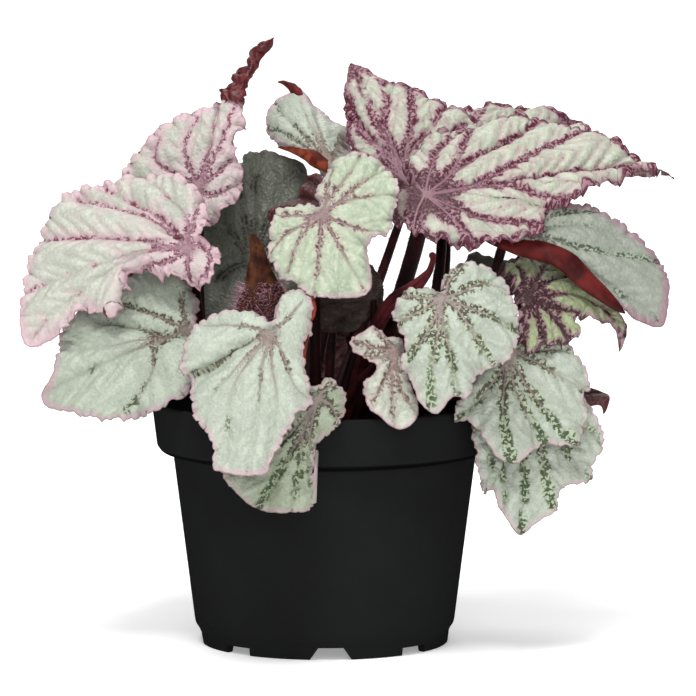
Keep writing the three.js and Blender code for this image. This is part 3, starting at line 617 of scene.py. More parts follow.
# %% One blade's plane, rim and surface
class Blade:
    """A leaf's blade: its plane, its rim as a closed curve, and its domed surface."""

    def __init__(self, leaf):
        self.leaf = leaf
        self.normal = unit(leaf["face"])
        self.joint = at_depth(*leaf["joint"])
        self.centre = self.joint - leaf["dome"] * self.normal
        corners = []
        for x, y, *lift in leaf["outline"]:
            plane = self.centre + self.normal * (lift[0] if lift else 0)
            corners.append(on_plane(x, y, plane, self.normal) - self.centre)
        tip = corners[0] - self.normal * corners[0].dot(self.normal)
        self.forward = unit(tip)
        self.side = np.cross(self.normal, self.forward)
        self.hub = np.zeros(3)
        if "hub" in leaf:
            self.hub = on_plane(*leaf["hub"], self.centre, self.normal) - self.centre
        self.shares, self.rim = closed_curve(corners)
        flat = self.flatten(self.rim - self.hub)
        angle = np.unwrap(np.arctan2(flat[:, 1], flat[:, 0]))
        self.sense = 1 if angle[-1] > angle[0] else -1
        self.start = angle[0]
        turned = np.maximum.accumulate((angle - self.start) * self.sense)
        self.angles = np.append(turned, 2 * math.pi)
        self.shares = np.append(self.shares, 1.0)
        self.rim = np.vstack([self.rim, self.rim[:1]])
        steps = np.linalg.norm(np.diff(self.rim, axis=0), axis=1)
        self.arcs = np.concatenate([[0], np.cumsum(steps)])
        self.around = self.arcs[-1]

    def flatten(self, points):
        return np.stack([points @ self.forward, points @ self.side], axis=-1)

    def polar(self, flat):
        """For flat coordinates: share of the way round the rim, and from the hub to the rim."""
        away = flat - self.flatten(self.hub)
        angle = np.arctan2(away[:, 1], away[:, 0])
        turned = ((angle - self.start) * self.sense) % (2 * math.pi)
        u = np.interp(turned, self.angles, self.shares)
        edge = self.flatten(self.rim_at(u) - self.hub)
        return u, np.linalg.norm(away, axis=1) / np.linalg.norm(edge, axis=1)

    def rim_at(self, u):
        return np.stack([np.interp(u, self.shares, self.rim[:, i]) for i in range(3)], axis=-1)

    def rise(self, u, s):
        """The height of the dome and of the waves, which grow towards the rim."""
        leaf = self.leaf
        waves = leaf["waves"]
        wave = np.sin(2 * math.pi * waves * u + len(leaf["outline"]))
        wave += 0.5 * np.sin(2 * math.pi * (waves * 1.7 + 1) * u)
        return leaf["dome"] * (1 - s ** 2) + leaf["ruffle"] * wave * s ** 3

    def surface(self, u, s, lift=0.0):
        """The middle of the blade, raised by lift, in millimetres."""
        rise = self.rise(u, s) + lift
        spoke = self.hub + (self.rim_at(u) - self.hub) * s[:, None]
        return self.centre + spoke + rise[:, None] * self.normal

    def attachment(self):
        """The place on the blade that its stalk meets."""
        u, s = self.polar(np.zeros((1, 2)))
        return self.surface(u, s)[0]

    def from_picture(self, x, y, rounds=4):
        """Flat coordinates of the place on the domed blade that is seen at a picture point.

        The height of the dome there isn't known at first, so every round starts from the last
        one's height.
        """
        lift = 0.0
        for _ in range(rounds):
            point = on_plane(x, y, self.centre + lift * self.normal, self.normal) - self.centre
            flat = self.flatten(point)[None]
            u, s = self.polar(flat)
            s = np.minimum(s, 1)
            lift = float((s * (self.rim_at(u) @ self.normal) + self.rise(u, s))[0])
        return flat[0]


blades = {leaf["name"]: Blade(leaf) for leaf in LEAVES}
widest = max(blades.values(), key=lambda blade: blade.around)
print("longest rim:", widest.leaf["name"], round(widest.around), "mm")

# %% [markdown]
# ## Veins
#
# The main veins of a begonia leave the joint like fingers, and each throws side veins to the rim.
# The main ones follow the table. The side veins are grown: they start at an even step along a main
# vein, lean towards the tip, and stop at the rim or where another main vein is nearer.

# %% Distances to lines
MARCH = 1.5
CHUNK = 2000  # points measured at a time, which keeps the arrays small


def bend(points, step=MARCH, fineness=8):
    """A polyline as a smooth chain of short, even steps."""
    points = np.asarray(points, float)
    if len(points) > 2:
        fine = []
        for i in range(len(points) - 1):
            a, b = points[max(i - 1, 0)], points[i]
            c, d = points[i + 1], points[min(i + 2, len(points) - 1)]
            t = np.linspace(0, 1, fineness, endpoint=False)[:, None]
            fine.append(0.5 * (2 * b + (c - a) * t + (2 * a - 5 * b + 4 * c - d) * t ** 2
                               + (3 * b - a - 3 * c + d) * t ** 3))
        points = np.vstack(fine + [points[-1:]])
    lengths = np.concatenate([[0], np.cumsum(np.linalg.norm(np.diff(points, axis=0), axis=1))])
    even = np.linspace(0, lengths[-1], max(2, int(lengths[-1] / step) + 1))
    return np.stack([np.interp(even, lengths, points[:, i]) for i in range(2)], axis=-1)


def nearest(flat, chains):
    """Signed distance to the nearest chain, and which chain it is."""
    a = np.vstack([chain[:-1] for chain in chains])
    b = np.vstack([chain[1:] for chain in chains])
    owner = np.concatenate([[i] * (len(chain) - 1) for i, chain in enumerate(chains)])
    way = b - a
    square = (way ** 2).sum(axis=1)
    signed, which = np.empty(len(flat)), np.empty(len(flat), int)
    for first in range(0, len(flat), CHUNK):
        part = flat[first:first + CHUNK, None, :] - a[None]
        along = np.clip((part * way).sum(axis=2) / square, 0, 1)
        off = part - along[..., None] * way
        best = np.argmin((off ** 2).sum(axis=2), axis=1)
        rows = np.arange(len(best))
        cross = way[best, 0] * part[rows, best, 1] - way[best, 1] * part[rows, best, 0]
        gap = np.sqrt((off[rows, best] ** 2).sum(axis=1))
        signed[first:first + CHUNK] = np.where(cross >= 0, gap, -gap)
        which[first:first + CHUNK] = owner[best]
    return signed, which


# %% Grow the veins of a blade
FINGER_ANGLES = (0, 30, -32, 64, -60, 102, -98, 140, -143)
FINGER_REACH = 0.95  # share of the way to the rim
FINGER_BEND = 1.06  # how much wider the fingers stand at their middle
BRANCH_STEP = 6.0
BRANCH_START = 8.0
BRANCH_END = 3.0
BRANCH_ANGLE = math.radians(44)
BRANCH_JITTER = 0.12
BRANCH_CURL = 0.035
BRANCH_MAX_STEPS = 40
BRANCH_REACH = 0.97  # share of the way to the rim


def main_veins(blade):
    """The main veins as chains of flat points, from the table or spread out like fingers."""
    chains = []
    if "veins" in blade.leaf:
        for line in blade.leaf["veins"]:
            chains.append(bend([(0, 0)] + [tuple(blade.from_picture(x, y)) for x, y in line]))
        return chains
    for degrees in FINGER_ANGLES:
        angle = math.radians(degrees)
        way = np.array([[math.cos(angle), math.sin(angle)]])
        _, s = blade.polar(way)
        length = FINGER_REACH / s[0]
        wider = angle * FINGER_BEND
        middle = 0.55 * length * np.array([math.cos(wider), math.sin(wider)])
        chains.append(bend([(0, 0), tuple(middle), tuple(way[0] * length)]))
    return chains


def side_veins(blade, mains, rng):
    """The veins that leave the main ones left and right by turns."""
    chains = []
    for i, main in enumerate(mains):
        length = MARCH * (len(main) - 1)
        at, side = BRANCH_START + rng.uniform(0, 2), 1
        while at < length - BRANCH_END:
            k = min(int(at / MARCH), len(main) - 2)
            way = unit(main[k + 1] - main[k])
            angle = side * (BRANCH_ANGLE + rng.uniform(-BRANCH_JITTER, BRANCH_JITTER))
            turn = -angle * BRANCH_CURL
            here, chain = main[k].copy(), [main[k].copy()]
            for _ in range(BRANCH_MAX_STEPS):
                cos, sin = math.cos(angle), math.sin(angle)
                here = here + MARCH * np.array([way[0] * cos - way[1] * sin,
                                                way[0] * sin + way[1] * cos])
                angle += turn
                _, s = blade.polar(here[None])
                _, owner = nearest(here[None], mains)
                if s[0] > BRANCH_REACH or owner[0] != i:
                    break
                chain.append(here.copy())
            if len(chain) > 2:
                chains.append(np.array(chain))
            at += BRANCH_STEP * rng.uniform(0.4, 0.6)
            side = -side
    return chains


veins = {}
for order, (name, blade) in enumerate(blades.items()):
    mains = main_veins(blade)
    veins[name] = (mains, side_veins(blade, mains, np.random.default_rng(40 + order)))
print("side veins:", sum(len(sides) for _, sides in veins.values()))

# %% [markdown]
# ## Blade meshes
#
# A blade needs even small triangles, so that its puckers and teeth are real shape and not only a
# trick of the light. The flat outline is filled with a honeycomb of points and triangulated. Then
# every point moves: the rim gets rounded teeth and a frill, the panels between the veins puff up,
# and the veins sink in. The underside is a copy set back by the thickness, where the veins stand
# out as ribs. Distances to veins and rim are stored on the mesh for the material.

# %% Sizes of the relief, in millimetres
FINE_STEP = 0.8
COARSE_STEP = 1.25  # for the leaves at the back and in the shade
BLADE_THICKNESS = 0.5
FULL_RIM = 180  # a shorter rim has less relief in proportion
TOOTH_LENGTH = 3.7
TOOTH_DEPTH = 1.25
TOOTH_DRIFT = 1.1  # how far the even teeth drift along the rim
DRIFTS = 9  # how often they do so on the way round
LOBE_LENGTH = 10.5
LOBE_DEPTH = 0.9
TIP_LENGTH = 26.0
TIP_RELIEF = 0.2  # share of the teeth and frill that is left at the tip
FRILL_LENGTH = 8.0
FRILL_WIDTH = 5.5
QUILT_WIDTH = 1.7
PLEAT_WIDTH = 5.0
BOLD_WIDTH = 3.5
GROOVE_DEPTH = 0.5
GROOVE_WIDTH = 0.9
SWELL_HEIGHT = 0.45
RIB_HEIGHT = 0.9
RIB_WIDTH = 0.8
SIDE_RIB_HEIGHT = 0.35
SIDE_RIB_WIDTH = 0.6
RIBBON_BLEND = 3  # in pixels, either side of the height where the ribbon starts
PATTERN_STEP = 17  # keeps the patterns of any two leaves apart
RELIEF = {  # finish: puff between side veins, pleat between main veins, frill of the rim
    "rose": (1.5, 2.2, 1.4), "magenta": (1.7, 1.8, 1.2), "moss": (1.1, 1.4, 0.8),
    "silver": (0.8, 1.4, 0.8), "sage_painted_shade": (0.9, 1.4, 0.8), "blush": (1.6, 1.8, 1.1),
    "pale": (0.8, 1.2, 0.8), "dusk_painted_shade": (0.9, 1.2, 0.8), "curly": (1.4, 1.2, 1.4),
    "ruffled": (1.8, 2.2, 2.0), "wine": (0.7, 0.8, 0.8), "drab": (0.8, 1.0, 0.8),
    "moss_painted_shade": (1.1, 1.4, 0.8),
}


def soft(value, start, end):
    """A soft step from 0 at start to 1 at end."""
    t = np.clip((value - start) / (end - start), 0, 1)
    return t * t * (3 - 2 * t)


def hump(distance, width):
    """1 on a line, fading to 0 with the distance from it."""
    return np.exp(-(distance / width) ** 2)


def rim_frame(blade, flat):
    """For flat points: the distance to the rim, the place along it, and the way inwards."""
    line = blade.flatten(blade.rim)
    way = np.diff(line, axis=0)
    square = (way ** 2).sum(axis=1)
    inward = np.stack([-way[:, 1], way[:, 0]], axis=1) * blade.sense
    for _ in range(6):
        inward = (np.roll(inward, 1, axis=0) + 2 * inward + np.roll(inward, -1, axis=0)) / 4
    inward /= np.linalg.norm(inward, axis=1)[:, None]
    gap, arc, best = np.empty(len(flat)), np.empty(len(flat)), np.empty(len(flat), int)
    for first in range(0, len(flat), CHUNK):
        part = flat[first:first + CHUNK, None, :] - line[None, :-1]
        along = np.clip((part * way).sum(axis=2) / square, 0, 1)
        away = np.linalg.norm(part - along[..., None] * way, axis=2)
        near = np.argmin(away, axis=1)
        rows = np.arange(len(near))
        steps = blade.arcs[near + 1] - blade.arcs[near]
        gap[first:first + CHUNK] = away[rows, near]
        arc[first:first + CHUNK] = blade.arcs[near] + along[rows, near] * steps
        best[first:first + CHUNK] = near
    return gap, arc, inward[best]


def honeycomb(blade, step):
    """Flat points and triangles that fill the outline."""
    rounds = int(blade.around / step)
    u = np.interp(np.arange(rounds) / rounds * blade.around, blade.arcs, blade.shares)
    rim = blade.flatten(blade.rim_at(u))
    low, high = rim.min(axis=0), rim.max(axis=0)
    row = step * math.sqrt(3) / 2
    ys = np.arange(low[1], high[1], row)
    grid = [(x + (j % 2) * step / 2, y) for j, y in enumerate(ys)
            for x in np.arange(low[0], high[0], step)]
    grid = np.array(grid)
    _, s = blade.polar(grid)
    gap, _, _ = rim_frame(blade, grid)
    inner = grid[(s < 1) & (gap > 0.6 * step)]
    points = [Vector(p) for p in np.vstack([rim, inner])]
    made, _, faces, *_ = delaunay_2d_cdt(points, [], [list(range(rounds))], 1, 1e-5)
    flat = np.array([tuple(p) for p in made])
    faces = np.array(faces)
    a, b, c = (flat[faces[:, i]] for i in range(3))
    area = (b - a)[:, 0] * (c - a)[:, 1] - (b - a)[:, 1] * (c - a)[:, 0]
    faces[area < 0] = faces[area < 0][:, ::-1]
    return flat, faces[np.abs(area) > 1e-6]


def mesh_normals(points, faces):
    """Unit normals at the points, weighted by the areas of the triangles."""
    a, b, c = (points[faces[:, i]] for i in range(3))
    cross = np.cross(b - a, c - a)
    total = np.zeros_like(points)
    for i in range(3):
        np.add.at(total, faces[:, i], cross)
    return total / np.maximum(np.linalg.norm(total, axis=1), 1e-12)[:, None]


def open_edges(faces):
    """Edges that only one triangle uses, in that triangle's direction."""
    edges = np.vstack([faces[:, [0, 1]], faces[:, [1, 2]], faces[:, [2, 0]]])
    used = {(a, b) for a, b in edges.tolist()}
    return np.array([(a, b) for a, b in edges.tolist() if (b, a) not in used])


# %% Survey of a blade
def survey(blade, flat, mains, sides):
    """Where every point of the blade lies, as one array for each measure."""
    u, s = blade.polar(flat)
    margin, arc, inward = rim_frame(blade, flat)
    midline, _ = nearest(flat, mains)
    branch, _ = nearest(flat, sides)
    s = np.minimum(s, 1)
    return SimpleNamespace(
        flat=flat, u=u, s=s, margin=margin, arc=arc, inward=inward, midline=midline,
        near=np.abs(midline), branch_near=np.abs(branch), reach=np.linalg.norm(flat, axis=1),
        length=np.linalg.norm(blade.rim_at(u) - blade.hub, axis=1), thin=1 - 0.6 * s)


def boldness(blade, flat, mains):
    """1 on the veins with a fuller net, fading to 0 beside them."""
    bold = np.zeros(len(flat))
    for index in blade.leaf.get("bold", ()):
        away, _ = nearest(flat, [mains[index]])
        bold = np.maximum(bold, hump(away, BOLD_WIDTH))
    return bold


# %% Rim of a blade
def notches(turn, count, phase=0.0):
    """1 in the sharp notches between round teeth, and 0 on the teeth."""
    return 1 - np.abs(np.sin(turn * count + phase))


def teeth(blade, arc):
    """How far the rim is cut back between its teeth and lobes, in millimetres."""
    arc = arc + TOOTH_DRIFT * np.sin(2 * math.pi * arc / blade.around * DRIFTS)
    turn = math.pi * arc / blade.around
    count, lobes = blade.around / TOOTH_LENGTH, blade.around / LOBE_LENGTH
    fine = 0.65 * notches(turn, round(count)) + 0.35 * notches(turn, round(count * 2.1), 1)
    return TOOTH_DEPTH * fine + LOBE_DEPTH * notches(turn, round(lobes), 0.5)


def with_rim(blade, at, small):
    """The middle of the blade, with the teeth and the frill of its rim."""
    _, _, frill_height = RELIEF[blade.leaf["finish"]]
    from_tip = np.linalg.norm(at.flat - blade.flatten(blade.rim[0]), axis=1)
    broad = TIP_RELIEF + (1 - TIP_RELIEF) * soft(from_tip, 2, TIP_LENGTH)
    trim = small * teeth(blade, at.arc) * (1 - soft(at.margin, 0, 4))
    trim = trim * soft(at.length, 2, 6) * broad
    turn = 2 * math.pi * at.arc / blade.around
    frills = round(blade.around / FRILL_LENGTH)
    frill = np.sin(turn * frills + 1) + 0.6 * np.sin(turn * (frills * 2 - 3))
    lift = frill_height * small * frill * (1 - soft(at.margin, 0, FRILL_WIDTH))
    lift = lift * soft(at.length, 3, 9) * broad
    inward = at.inward[:, :1] * blade.forward + at.inward[:, 1:] * blade.side
    return blade.surface(at.u, at.s, lift) + trim[:, None] * inward


def with_ribbon(blade, at, middle):
    """The middle with its tip as a crimped ribbon, and how far each point is turned over."""
    level = blade.leaf["turned_above"]
    turned = 1 - soft(picture_height(middle), level - RIBBON_BLEND, level + RIBBON_BLEND)
    foot = blade.from_picture(*blade.leaf["turned_axis"])
    axis = unit(blade.flatten(blade.rim[:1])[0] - foot)
    across = (at.flat - foot) @ np.array([-axis[1], axis[0]])
    along = (at.flat - foot) @ axis
    lobes = 0.2 * np.sin(2 * math.pi * along / 9) + 0.1 * np.sin(2 * math.pi * along / 4)
    sideways = axis[0] * blade.side - axis[1] * blade.forward
    middle = middle + (across * lobes * turned)[:, None] * sideways
    crimp = 0.5 * np.sin(2 * math.pi * along / 8 + np.sign(across)) * np.abs(across) / 3
    return middle + (crimp * turned)[:, None] * blade.normal, turned


# %% Shape a blade
def relief(blade, at, mains, small):
    """How far the blade puffs up between its veins, and sinks in along them."""
    puff, pleat, _ = RELIEF[blade.leaf["finish"]]
    x, y = at.flat[:, 0], at.flat[:, 1]
    quilt = puff * (1 - hump(np.minimum(at.near, at.branch_near + 0.35), QUILT_WIDTH))
    quilt *= soft(at.reach, 3, 14) * (0.3 + 0.7 * soft(at.margin, 0, 4)) * small
    groove = GROOVE_DEPTH * at.thin * hump(at.near, GROOVE_WIDTH) * soft(at.reach, 0, 4)
    swell = SWELL_HEIGHT * np.sin(x / 3.1 + 2 * np.sin(y / 5)) * np.sin(y / 2.7)
    total = quilt - groove + swell * soft(at.reach, 4, 12) * soft(at.margin, 0, 3)
    pleats = (1 - hump(at.near, PLEAT_WIDTH)) * soft(at.reach, 5, 25)
    total += pleat * small * pleats * (0.4 + 0.6 * soft(at.margin, 0, 6))
    for index, (depth, width) in blade.leaf.get("folds", {}).items():
        away, _ = nearest(at.flat, [mains[index]])
        total -= depth * hump(away, width) * soft(at.reach, 2, 12)
    return total


def shape_blade(name, step):
    """The two sides of a blade, its triangles, flat points, and what its material reads."""
    blade = blades[name]
    mains, sides = veins[name]
    flat, faces = honeycomb(blade, step)
    at = survey(blade, flat, mains, sides)
    small = min(1, blade.around / FULL_RIM)
    middle, turned = with_rim(blade, at, small), np.zeros(len(flat))
    if "turned_above" in blade.leaf:
        middle, turned = with_ribbon(blade, at, middle)
    middle = middle + mesh_normals(middle, faces) * relief(blade, at, mains, small)[:, None]
    normals = mesh_normals(middle, faces)
    rib = RIB_HEIGHT * at.thin * hump(at.near, RIB_WIDTH) * soft(at.margin, 0, 4)
    rib += SIDE_RIB_HEIGHT * hump(at.branch_near, SIDE_RIB_WIDTH) * soft(at.margin, 0, 3)
    half = BLADE_THICKNESS / 2 * (0.55 + 0.45 * soft(at.margin, 0, 1.2))
    top = middle + normals * half[:, None]
    bottom = middle - normals * (half + rib)[:, None]
    facts = dict(midline=np.clip(at.midline, -9, 9), vein_near=at.near,
                 branch_near=at.branch_near, margin=at.margin, reach=at.reach, turned=turned,
                 bold=boldness(blade, flat, mains))
    return top, bottom, faces, flat, facts


def blade_mesh(name, step):
    """A closed mesh of the two sides and the thin edge between them."""
    top, bottom, faces, flat, facts = shape_blade(name, step)
    count = len(top)
    rim = open_edges(faces)
    wall = np.stack([rim[:, 1], rim[:, 0], rim[:, 0] + count, rim[:, 1] + count], axis=1)
    points = np.vstack([top, bottom]) * MM
    polygons = faces.tolist() + (faces[:, ::-1] + count).tolist() + wall.tolist()
    mesh = bpy.data.meshes.new("blade_" + name)
    mesh.from_pydata(points.tolist(), [], polygons)
    mesh.polygons.foreach_set("use_smooth", [True] * len(polygons))
    pairs = {tuple(sorted(edge)) for edge in rim.tolist()}
    pairs |= {(a + count, b + count) for a, b in pairs}
    ends = np.zeros(len(mesh.edges) * 2, int)
    mesh.edges.foreach_get("vertices", ends)
    sharp = [tuple(sorted(edge)) in pairs for edge in ends.reshape(-1, 2).tolist()]
    mesh.attributes.new("sharp_edge", "BOOLEAN", "EDGE").data.foreach_set("value", sharp)
    facts = {label: np.tile(values, 2) for label, values in facts.items()}
    facts["under"] = np.repeat([0.0, 1.0], count)
    for label, values in facts.items():
        mesh.attributes.new(label, "FLOAT", "POINT").data.foreach_set("value", values)
    sheet = np.zeros((2 * count, 3))
    sheet[:, :2] = np.tile(flat, (2, 1))
    sheet[:, 2] = PATTERN_STEP * list(blades).index(name)
    mesh.attributes.new("sheet", "FLOAT_VECTOR", "POINT").data.foreach_set("vector", sheet.ravel())
    mesh.update()
    return mesh


def new_object(name, mesh):
    made = bpy.data.objects.new(name, mesh)
    scene.collection.objects.link(made)
    return made


leaf_objects = {}
for name, blade in blades.items():
    step = COARSE_STEP if name.startswith(("back", "shade")) else FINE_STEP
    leaf_objects[name] = new_object("blade_" + name, blade_mesh(name, step))
print("triangles in the blades:", sum(len(o.data.polygons) for o in leaf_objects.values()))

# %% [markdown]
# ## Leaf colours
#
# Three things make the leaf: silver panels with a fine grain, coloured nets in a band along each
# vein, and a tinted rim. The net is what the smallest veins look like when only they are coloured,
# so it is made from the borders between the cells of a Voronoi pattern. Grain and net are node
# groups, because every leaf uses them, each with its own colours and widths.
#
# A finish has eight tones: the light and the dark one of its panels, the halo beside a band, the
# net's lines far from and near the joint, the ground between them, the rim, and a bare vein. Its
# numbers say how far the net reaches from a main vein, a side vein and the rim, how much wider it
# is near the joint, how wide the halo is, how much of the bands is filled, how big the net's cells
# are and how thick its lines, and how wide the tinted rim is.

# %% Group: grain of a leaf
def grain_group():
    tree, given, result = group(
        "leaf grain", {"Vector": VECTOR, "Cell size": 0.8}, {"Mottle": "Float", "Pebble": "Float"})
    vector = given["Vector"]
    scale = calc(tree, "DIVIDE", 1.0, given["Cell size"])
    cells = put(tree, "ShaderNodeTexVoronoi",
                {"Vector": vector, "Scale": scale, "Smoothness": 0.6}, feature="SMOOTH_F1")
    cloud = put(tree, "ShaderNodeTexNoise", {"Vector": vector, "Scale": 0.13, "Detail": 4})
    speck = put(tree, "ShaderNodeTexNoise", {"Vector": vector, "Scale": 1.1, "Detail": 2})
    mottle = calc(tree, "ADD", calc(tree, "MULTIPLY", cloud.outputs[0], 0.55),
                  calc(tree, "MULTIPLY", speck.outputs[0], 0.45))
    tree.links.new(mottle, result["Mottle"])
    tree.links.new(cells.outputs["Distance"], result["Pebble"])
    return tree


leaf_grain = grain_group()
print("group:", leaf_grain.name)

# %% Group: coloured net along the veins
def net_group():
    tree, given, result = group(
        "net along veins",
        {"Vector": VECTOR, "Midline": 0.0, "Near": 5.0, "Branch near": 5.0, "Margin": 20.0,
         "Reach": 20.0, "Band width": 2.4, "Branch width": 0.0, "Rim width": 0.0,
         "Heart width": 0.0, "Halo width": 2.0, "Cover": 0.2,
         "Cell size": 2.0, "Line": 0.16},
        {"Net": "Float", "Band": "Float", "Halo": "Float", "Vein": "Float"})
    vector = given["Vector"]
    wander = put(tree, "ShaderNodeTexNoise", {"Vector": vector, "Scale": 0.45, "Detail": 3})
    patch = put(tree, "ShaderNodeTexNoise", {"Vector": vector, "Scale": 0.14, "Detail": 1})
    shift = calc(tree, "MULTIPLY", calc(tree, "SUBTRACT", wander.outputs[0], 0.5), 4.0)
    core = smooth(tree, given["Reach"], 20.0, 5.0)
    extra = calc(tree, "MULTIPLY", core, given["Heart width"])
    band_width = calc(tree, "ADD", given["Band width"], extra)
    wide = calc(tree, "SUBTRACT", given["Near"], band_width)
    slim = calc(tree, "SUBTRACT", given["Branch near"], given["Branch width"])
    edge = calc(tree, "SUBTRACT", given["Margin"], given["Rim width"])
    closest = calc(tree, "MINIMUM", calc(tree, "MINIMUM", wide, slim), edge)
    inside = calc(tree, "ADD", closest, shift)
    heart = smooth(tree, given["Reach"], 26.0, 8.0, 0.0, 0.22)
    rich = calc(tree, "ADD", calc(tree, "ADD", patch.outputs[0], given["Cover"]), heart)
    cover = smooth(tree, rich, 0.62, 0.8)
    away = smooth(tree, given["Reach"], 0.0, 3.5)
    amount = calc(tree, "MULTIPLY", cover, away)
    band = calc(tree, "MULTIPLY", smooth(tree, inside, 0.5, -0.5), amount)
    halo = calc(tree, "MULTIPLY", smooth(tree, inside, given["Halo width"], -0.8), amount)
    crook = put(tree, "ShaderNodeTexNoise", {"Vector": vector, "Scale": 0.9, "Detail": 1})
    moved = put(tree, "ShaderNodeVectorMath", {0: crook.outputs["Color"], 1: (1.8, 1.8, 0.0)},
                operation="MULTIPLY")
    bent = put(tree, "ShaderNodeVectorMath", {0: vector, 1: moved.outputs[0]}, operation="ADD")
    scale = calc(tree, "DIVIDE", 1.0, given["Cell size"])
    cells = put(tree, "ShaderNodeTexVoronoi", {"Vector": bent.outputs[0], "Scale": scale},
                feature="DISTANCE_TO_EDGE")
    broken = put(tree, "ShaderNodeTexNoise", {"Vector": vector, "Scale": 0.8, "Detail": 1})
    strength = smooth(tree, broken.outputs[0], 0.36, 0.6, -0.25, 1.75)
    thick = calc(tree, "MULTIPLY", given["Line"], strength)
    line = smooth(tree, calc(tree, "SUBTRACT", cells.outputs["Distance"], thick), 0.04, -0.04)
    net = calc(tree, "MULTIPLY", line, band)
    thread = smooth(tree, calc(tree, "ABSOLUTE", given["Midline"]), 0.75, 0.25)
    real = smooth(tree, given["Near"], 1.8, 1.0)
    fade = smooth(tree, given["Reach"], 40.0, 6.0)
    vein = calc(tree, "MULTIPLY", calc(tree, "MULTIPLY", thread, real), fade)
    for label, value in (("Net", net), ("Band", band), ("Halo", halo), ("Vein", vein)):
        tree.links.new(value, result[label])
    return tree


vein_net = net_group()
print("group:", vein_net.name)

# %% Leaf materials
TONES = ("panel", "shade", "halo", "net", "heart", "fill", "margin", "vein")
WIDTHS = ("width", "branch", "rim_net", "heart_width", "halo_width", "cover", "cell", "line",
          "rim")
FINISHES = {
    "rose": ("#bfc1b5 #a8ab9f #c6a8b0 #6b1231 #5b1833 #c9abb3 #cbaab4 #93717b",
             (0.7, -1.7, -0.9, 0.6, 4.5, 0.13, 1.2, 0.2, 6.0)),
    "magenta": ("#bbc0ae #a2a897 #b08b95 #4e0b24 #452029 #946d79 #906a77 #94707b",
                (1.6, -0.45, 2.6, 3.0, 2.4, 0.33, 1.25, 0.22, 3.0)),
    "moss": ("#b2b9ac #9ca396 #a3ad98 #2f4225 #443532 #a5b195 #bb9fa5 #91827d",
             (1.9, -1.2, -1.4, 0.0, 1.5, 0.19, 1.45, 0.2, 2.3)),
    # Painted shade: the moss tones made darker for a leaf that hangs in the shade.
    "moss_painted_shade": ("#979f8c #828a76 #8a957e #2b3d22 #3c2f2c #8b967c #a98e93 #83756f",
             (1.9, -1.2, -1.4, 0.0, 1.5, 0.19, 1.45, 0.2, 2.3)),
    "silver": ("#b5bcae #a1a99b #a8b09f #3b4430 #503f3c #a6ae9b #bd9ca6 #88776f",
               (0.9, -1.5, -1.4, 0.0, 1.5, 0.07, 1.4, 0.2, 2.8)),
    # Painted shade: the silver tones made a little darker for a leaf in the shade of the one above
    # it, with a fuller net of its own.
    "sage_painted_shade": ("#b0b8a8 #9aa294 #99a18f #343d2b #44332f #979f8b #b08e99 #75645e",
             (1.1, -1.4, -1.4, 0.6, 1.5, 0.07, 1.6, 0.2, 3.2)),
    "blush": ("#b8c1ab #a0ab95 #b0a79a #5f3236 #573439 #b2ac9c #bda1a9 #8c7274",
              (0.75, -1.3, -1.1, 0.5, 2.0, 0.14, 1.6, 0.18, 2.4)),
    "pale": ("#979d91 #868c81 #959d8e #36452f #4a4a40 #98a292 #93697a #7d7673",
             (1.2, -1.0, -1.2, 0.0, 1.5, 0.12, 1.7, 0.18, 5.0)),
    # Painted shade: silver tones made dark grey for the leaves that stand deep in the shade.
    "dusk_painted_shade": ("#5e6157 #515449 #494d42 #20251c #25241e #4c5045 #6a5759 #555049",
             (1.2, -1.1, -1.2, 0.0, 2.0, 0.15, 1.4, 0.26, 1.2)),
    "curly": ("#bbc0b2 #999f90 #a69e94 #43392f #523d37 #a6a494 #b9999f #8a726e",
              (1.0, -0.6, -1.0, 0.6, 2.0, 0.22, 1.6, 0.19, 2.3)),
    "ruffled": ("#a5ae89 #7f8a66 #8e7b76 #31111b #2c1018 #846068 #a67e8b #3a2026",
                (1.0, -0.4, 1.4, 1.5, 1.5, 0.28, 1.2, 0.26, 2.4)),
    "wine": ("#4a1a18 #351211 #3b1313 #200a0b #1f0a0a #331111 #5a2627 #240b0b",
             (0.8, -0.8, -1.0, 0.0, 1.5, 0.2, 1.6, 0.2, 1.2)),
    "drab": ("#6f655c #57504a #4f493f #2d3323 #2f2620 #565045 #7c6460 #463c37",
             (1.2, -0.8, -1.0, 0.0, 1.5, 0.2, 1.6, 0.24, 1.2)),
}
DARK_HEART = (14.0, 5.0, 0.85)  # it starts and ends at these distances, with this strength
FAINT_HEART = (6.0, 1.0, 0.6)
# The tones of a side seen from below: in its hollows, on its skin and along its ribs
UNDERSIDE = ("#31100f", "#521b1c", "#6c3334")
DRAB_UNDERSIDE = ("#3f3531", "#5c4f49", "#665852")
RIBBON = ("#3a0d10", "#5c1c1f", "#6c2c2d")


